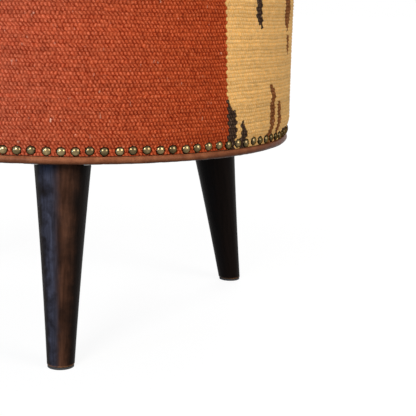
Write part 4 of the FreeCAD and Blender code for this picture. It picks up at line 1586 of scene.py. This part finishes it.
# %% Which way each copy faces
def ring_turns(tree, given, azimuth, sine, cosine):
    """Turn of each copy: its Z axis outwards, or downwards, with a small tilt."""
    outward = tree.nodes.new("ShaderNodeCombineXYZ")
    level = math_node(tree, "SUBTRACT", 1.0, given["Down"])
    for axis, share in enumerate((sine, cosine)):
        tilt = random_between(tree, given["Seed"], given["Tilt"], 2 + axis)
        tree.links.new(
            math_node(tree, "ADD", math_node(tree, "MULTIPLY", share, level), tilt), outward.inputs[axis]
        )
    lean = random_between(tree, given["Seed"], given["Tilt"], 4)
    tree.links.new(math_node(tree, "SUBTRACT", lean, given["Down"]), outward.inputs[2])
    spun = add(tree, "FunctionNodeAxisAngleToRotation", [("Angle", azimuth)], Axis=(0.0, 0.0, 1.0))
    faced = [("Rotation", spun.outputs[0]), ("Vector", outward.outputs[0])]
    stand = add(tree, "FunctionNodeAlignRotationToVector", faced)
    stand.axis = "Z"
    return stand.outputs[0]


print("a copy faces outwards where Down is 0, and downwards where it is 1")

# %% [markdown]
# The tree joins those parts: copies on the points, a chance number stored on each, Realize Instances and Set
# Material. A modifier runs it once. Its inputs are set by their identifiers, which stay the same even if
# a label changes, and the result is kept as a plain mesh.

# %% Build the ring's tree
def ring_copies(tree, given, spot, turn):
    """Copies of one object on the points, each with a chance number of its own."""
    points = add(tree, "GeometryNodePoints", [("Count", given["Count"])])
    placed = add(tree, "GeometryNodeSetPosition", [("Geometry", points.outputs[0]), ("Position", spot)])
    copy = add(tree, "GeometryNodeObjectInfo", [("Object", given["Copy"])])
    links = [("Points", placed.outputs[0]), ("Instance", copy.outputs["Geometry"]), ("Rotation", turn)]
    copies = add(tree, "GeometryNodeInstanceOnPoints", links)
    chance = add(tree, "FunctionNodeRandomValue", [("Seed", given["Seed"])])
    marked = tree.nodes.new("GeometryNodeStoreNamedAttribute")
    marked.data_type = "FLOAT"
    marked.domain = "INSTANCE"
    marked.inputs["Name"].default_value = "chance"
    tree.links.new(copies.outputs[0], marked.inputs["Geometry"])
    tree.links.new(chance.outputs[1], marked.inputs["Value"])
    return marked.outputs[0]


def ring_tree(name):
    """A tree that sets copies of one object round a circle."""
    tree = bpy.data.node_groups.new(name, "GeometryNodeTree")
    for label, kind in RING_INPUTS:
        tree.interface.new_socket(label, in_out="INPUT", socket_type=kind)
    tree.interface.new_socket("Geometry", in_out="OUTPUT", socket_type="NodeSocketGeometry")
    given = tree.nodes.new("NodeGroupInput").outputs
    azimuth, sine, cosine = ring_azimuths(tree, given)
    spot = ring_spots(tree, given, sine, cosine)
    copies = ring_copies(tree, given, spot, ring_turns(tree, given, azimuth, sine, cosine))
    real = add(tree, "GeometryNodeRealizeInstances", [("Geometry", copies)])
    links = [("Geometry", real.outputs[0]), ("Material", given["Finish"])]
    finish = add(tree, "GeometryNodeSetMaterial", links)
    tree.links.new(finish.outputs[0], tree.nodes.new("NodeGroupOutput").inputs[0])
    return tree


def ring_piece(name, tree, smooth, **inputs):
    """Run a ring tree once and keep its result as a plain mesh."""
    piece = piece_from(name, [(0, 0, 0)], [])
    modifier = piece.modifiers.new("ring", "NODES")
    modifier.node_group = tree
    sockets = {item.name: item.identifier for item in tree.interface.items_tree if item.in_out == "INPUT"}
    for label, value in inputs.items():
        modifier[sockets[label]] = value
    apply_modifiers(piece)
    shade(piece.data, smooth)
    bpy.data.objects.remove(inputs["Copy"])
    return piece


RING = ring_tree("ring_of_copies")
print(RING.name, "has", len(RING.nodes), "nodes")

# %% [markdown]
# ## Dome nails
#
# The nails hold the hem and trim it. Each is a stamped dome with a short upright rim, and stands a little
# sunk in the cloth. One dome is built from rings of points and marked with its height, from which the brass
# paints its crown bright and its rim dark as painted shade; the ring of copies does the rest.

# %% The nails
NAIL_SIDES = 12
NAIL_SLIP = 0.55 * MM
NAIL_TILT = 0.05
NAIL_SEED = 7

# Rings of the dome from its rim to its crown: radius and height in mm
DOME = ((4.65, 0.0), (4.65, 0.4), (4.2, 1.25), (3.3, 2.1), (2.1, 2.7), (0.9, 2.97))


def nail_dome():
    """One dome, its flat side on z = 0, marked with how high each point lies."""
    vertices = [(0.0, 0.0, NAIL_HEIGHT)]
    for radius, height in DOME:
        for side in range(NAIL_SIDES):
            angle = 2 * math.pi * side / NAIL_SIDES
            vertices.append((radius * MM * math.cos(angle), radius * MM * math.sin(angle), height * MM))
    last = 1 + (len(DOME) - 1) * NAIL_SIDES
    faces = between_rings(1, last, NAIL_SIDES) + fan(last, NAIL_SIDES, 0)
    faces.append(tuple(range(NAIL_SIDES, 0, -1)))
    dome = piece_from("one_nail", vertices, faces)
    mark(dome, "dome_height", "FLOAT", "POINT", "value", points_of(dome.data)[:, 2] / NAIL_HEIGHT)
    return dome


brass_nails = ring_piece(
    "brass_nails", RING, smooth=True, Count=NAIL_COUNT, Radius=HEM_RADIUS - NAIL_SINK, Height=NAIL_ROW,
    Start=NAIL_START, Slip=NAIL_SLIP, Tilt=NAIL_TILT, Seed=NAIL_SEED, Down=0.0,
    Copy=nail_dome(), Finish=BRASS,
)
finish_piece(brass_nails, BRASS, ["cover_nails"])

# %% [markdown]
# ## Dust cloth
#
# Under the base a black cloth hides the raw edges and keeps dust out. It is a flat sheet that sags a little
# between its staples. A simulation would hardly show more, so its mesh is a disc of rings that fall
# towards the middle by a plain formula.

# %% Lay the dust cloth
CLOTH_RINGS = 14
CLOTH_STEPS = 120
CLOTH_SAG = 1.6 * MM
SAG_POWER = 4
SAG_FOLDS = 9
FOLD_SHARE = 0.15
cloth_low, cloth_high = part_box("dust_cloth")
CLOTH_RADIUS = cloth_high.x


def dust_cloth():
    """A disc that hangs down a little in its middle."""
    vertices = [Vector((0, 0, cloth_low.z - CLOTH_SAG))]
    for ring in range(1, CLOTH_RINGS + 1):
        share = ring / CLOTH_RINGS
        for step in range(CLOTH_STEPS):
            azimuth = 2 * math.pi * step / CLOTH_STEPS
            fall = CLOTH_SAG * (1 - share**SAG_POWER) * (1 + FOLD_SHARE * math.sin(SAG_FOLDS * azimuth))
            vertices.append(on_circle(CLOTH_RADIUS * share, azimuth, cloth_low.z - fall))
    last = 1 + (CLOTH_RINGS - 1) * CLOTH_STEPS
    # The cloth is seen from below, so its middle is turned over to face down as its rings do
    middle = [face[::-1] for face in fan(1, CLOTH_STEPS, 0)]
    return piece_from("base_cloth", vertices, middle + between_rings(1, last, CLOTH_STEPS))


base_cloth = dust_cloth()
finish_piece(base_cloth, CLOTH, ["dust_cloth"])

# %% [markdown]
# ## Staples
#
# The dust cloth is stapled to the base round its edge. Only the crown of a staple shows, a short flat bar,
# so one bar is copied round a circle by the same tree as the nails, this time facing down.

# %% The staples
STAPLE_COUNT = 54
STAPLE_WIDTH = 9.0 * MM
STAPLE_WIRE = 0.7 * MM
STAPLE_INSET = 6.0 * MM
STAPLE_DROP = 0.1 * MM
STAPLE_START = 0.03
STAPLE_TILT = 0.02
STAPLE_SEED = 5


def staple():
    """The crown of one staple, a flat bar along X on z = 0."""
    half = (STAPLE_WIDTH / 2, STAPLE_WIRE / 2)
    corners = [(x * half[0], y * half[1], z * STAPLE_WIRE) for z in (0, 1) for y in (-1, 1) for x in (-1, 1)]
    faces = [(0, 2, 3, 1), (4, 5, 7, 6), (0, 1, 5, 4), (2, 6, 7, 3), (0, 4, 6, 2), (1, 3, 7, 5)]
    return piece_from("one_staple", corners, faces, smooth=False)


cloth_staples = ring_piece(
    "cloth_staples", RING, smooth=False, Count=STAPLE_COUNT, Radius=CLOTH_RADIUS - STAPLE_INSET,
    Height=cloth_low.z - STAPLE_DROP, Start=STAPLE_START, Slip=0.0, Tilt=STAPLE_TILT, Seed=STAPLE_SEED,
    Down=1.0, Copy=staple(), Finish=STEEL,
)
finish_piece(cloth_staples, STEEL)

# %% [markdown]
# ## Floor and background
#
# The stool stands on a white floor before a white background, as in a catalogue picture. If the whole room
# were that white, its light would wash the stool out. So only rays from the camera, and those that polished
# metal sends on, see white; for all other light the floor is grey and the background dim.

# %% What is seen and what gives light
WHITE = (1.0, 1.0, 1.0, 1.0)


def shows_white(tree):
    """1 for rays from the camera, and for those that polished metal sends on."""
    rays = tree.nodes.new("ShaderNodeLightPath").outputs
    straight = math_node(tree, "MAXIMUM", rays["Is Camera Ray"], rays["Is Transmission Ray"])
    return math_node(tree, "MAXIMUM", straight, rays["Is Glossy Ray"])


def blend_shaders(tree, share, first, second, output):
    """Mix two shaders by a share and send the result to the tree's output node."""
    blend = tree.nodes.new("ShaderNodeMixShader")
    tree.links.new(share, blend.inputs[0])
    tree.links.new(first.outputs[0], blend.inputs[1])
    tree.links.new(second.outputs[0], blend.inputs[2])
    tree.links.new(blend.outputs[0], tree.nodes[output].inputs["Surface"])


print("white as seen:", WHITE[:3])

# %% [markdown]
# A floor that only glowed white would lose the stool's shadow. A white one under the lamps would have a
# full shadow, but grow dark further off. So near the stool a little lit floor is mixed into the glow: that
# keeps a faint shadow under the stool, and the mix fades out with the distance.

# %% Lay the floor
FLOOR_HALF = 30.0
FLOOR_GREY = dye(84, 83, 82)
FLOOR_GLOW = 1.03
SHADOW_SHARE = 0.12
SHADOW_REACH = (0.4, 1.3)


def make_floor():
    """A wide floor that is white to the camera but keeps a faint shadow round the stool."""
    corners = [(x * FLOOR_HALF, y * FLOOR_HALF, 0) for x, y in ((-1, -1), (1, -1), (1, 1), (-1, 1))]
    floor = piece_from("floor", corners, [(0, 1, 2, 3)])
    material, tree, shader, place = new_material("pale_floor", roughness=0.9, Specular_IOR_Level=0.0)
    seen = shows_white(tree)
    tree.links.new(mix_colour(tree, seen, FLOOR_GREY, WHITE), shader.inputs["Base Color"])
    away = add(tree, "ShaderNodeVectorMath", [(0, place)])
    away.operation = "LENGTH"
    limits = {"From_Min": SHADOW_REACH[0], "From_Max": SHADOW_REACH[1], "To_Min": 1 - SHADOW_SHARE}
    clear = add(tree, "ShaderNodeMapRange", [("Value", away.outputs["Value"])], **limits)
    white = add(tree, "ShaderNodeEmission", Strength=FLOOR_GLOW)
    share = math_node(tree, "MULTIPLY", seen, clear.outputs[0])
    blend_shaders(tree, share, shader, white, "Material Output")
    floor.data.materials.append(material)


make_floor()
print(f"lit floor in the mix near the stool: {SHADOW_SHARE}")

# %% [markdown]
# The world is what lies beyond the floor. An image of a room could light the stool too, but a plain dim white
# from all round softens the shadows without a tint, and the camera is shown full white instead.

# %% Set the world
WORLD_LIGHT = 0.16
WORLD_SEEN = 1.0


def make_world():
    """A dim light from all round, seen as white."""
    world = bpy.data.worlds.new("studio")
    bpy.context.scene.world = world
    world.use_nodes = True
    tree = world.node_tree
    soft = tree.nodes["Background"]
    soft.inputs["Color"].default_value = WHITE
    soft.inputs["Strength"].default_value = WORLD_LIGHT
    seen = add(tree, "ShaderNodeBackground", Color=WHITE, Strength=WORLD_SEEN)
    blend_shaders(tree, shows_white(tree), soft, seen, "World Output")


make_world()
print(f"background seen at {WORLD_SEEN}, lighting at {WORLD_LIGHT}")

# %% [markdown]
# ## Lamps
#
# The photograph was lit softly from the front left, with weaker warm light from the right and a touch of
# blue, as from a window, on the legs. Area lamps give such soft light. A lamp's size sets how soft its
# shadow is, and its power is chosen by comparing the cloth with the photograph.

# %% Soft lamps
DRUM_MIDDLE = (0.0, 0.0, 0.25)
FRONT_LEG = (0.0, -0.2, 0.1)

# Each lamp: name, place, target, size in metres, power in watts, colour
LAMPS = (
    ("key", (-0.75, -2.0, 1.05), DRUM_MIDDLE, 0.7, 40.2, (1.0, 1.0, 1.0)),
    ("fill", (1.7, -1.2, 0.9), DRUM_MIDDLE, 1.0, 27.2, (1.0, 0.95, 0.9)),
    ("window", (-1.1, -1.05, 0.3), FRONT_LEG, 0.3, 6.0, (0.3, 0.55, 1.0)),
    ("back", (0.5, 1.9, 1.6), DRUM_MIDDLE, 1.4, 30.0, (1.0, 1.0, 1.0)),
)


def soft_box(name, spot, target, size, power, colour):
    """A square area lamp that faces a target."""
    lamp = bpy.data.lights.new(name, "AREA")
    lamp.color = colour
    lamp.size = size
    lamp.energy = power
    item = bpy.data.objects.new(name, lamp)
    item.location = spot
    item.rotation_euler = (Vector(target) - Vector(spot)).to_track_quat("-Z", "Y").to_euler()
    bpy.context.scene.collection.objects.link(item)


for lamp in LAMPS:
    soft_box(*lamp)
print("lamps:", [lamp[0] for lamp in LAMPS])

# %% [markdown]
# ## Camera
#
# The camera stands a little above the rim and close to the stool, so the drum runs out of the picture on top
# and on the left. Trying places by eye would take long, so its place, turn and lens were found by matching
# the rim, the feet and the drum's right edge to the photograph.

# %% Set the camera
CAMERA_AWAY = 1.1902
CAMERA_ABOVE_RIM = 0.1451
CAMERA_AZIMUTH = math.radians(3.535)
CAMERA_YAW = math.radians(7.38) - CAMERA_AZIMUTH
CAMERA_PITCH = math.radians(11.12)
CAMERA_ROLL = math.radians(1.39)
CAMERA_LENS = 90.68
SENSOR_WIDTH = 36.0
NEAREST_SEEN = 0.01


def camera_turn():
    """The camera's axes from its yaw, pitch and roll."""
    level = math.cos(CAMERA_PITCH)
    ahead = Vector((math.sin(CAMERA_YAW) * level, math.cos(CAMERA_YAW) * level, -math.sin(CAMERA_PITCH)))
    right = Vector((math.cos(CAMERA_YAW), -math.sin(CAMERA_YAW), 0.0))
    up = right.cross(ahead)
    rolled_right = right * math.cos(CAMERA_ROLL) + up * math.sin(CAMERA_ROLL)
    rolled_up = up * math.cos(CAMERA_ROLL) - right * math.sin(CAMERA_ROLL)
    return Matrix((rolled_right, rolled_up, -ahead)).transposed().to_4x4()


def make_camera():
    """The camera of the photograph."""
    data = bpy.data.cameras.new("camera")
    data.lens = CAMERA_LENS
    data.sensor_width = SENSOR_WIDTH
    data.clip_start = NEAREST_SEEN
    camera = bpy.data.objects.new("camera", data)
    bpy.context.scene.collection.objects.link(camera)
    spot = on_circle(CAMERA_AWAY, CAMERA_AZIMUTH, RIM + CAMERA_ABOVE_RIM)
    camera.matrix_world = Matrix.Translation(spot) @ camera_turn()
    bpy.context.scene.camera = camera


make_camera()
bpy.context.scene.view_settings.view_transform = "Standard"
print(f"camera {CAMERA_AWAY:.3f} m from the axis, lens {CAMERA_LENS:.1f} mm")
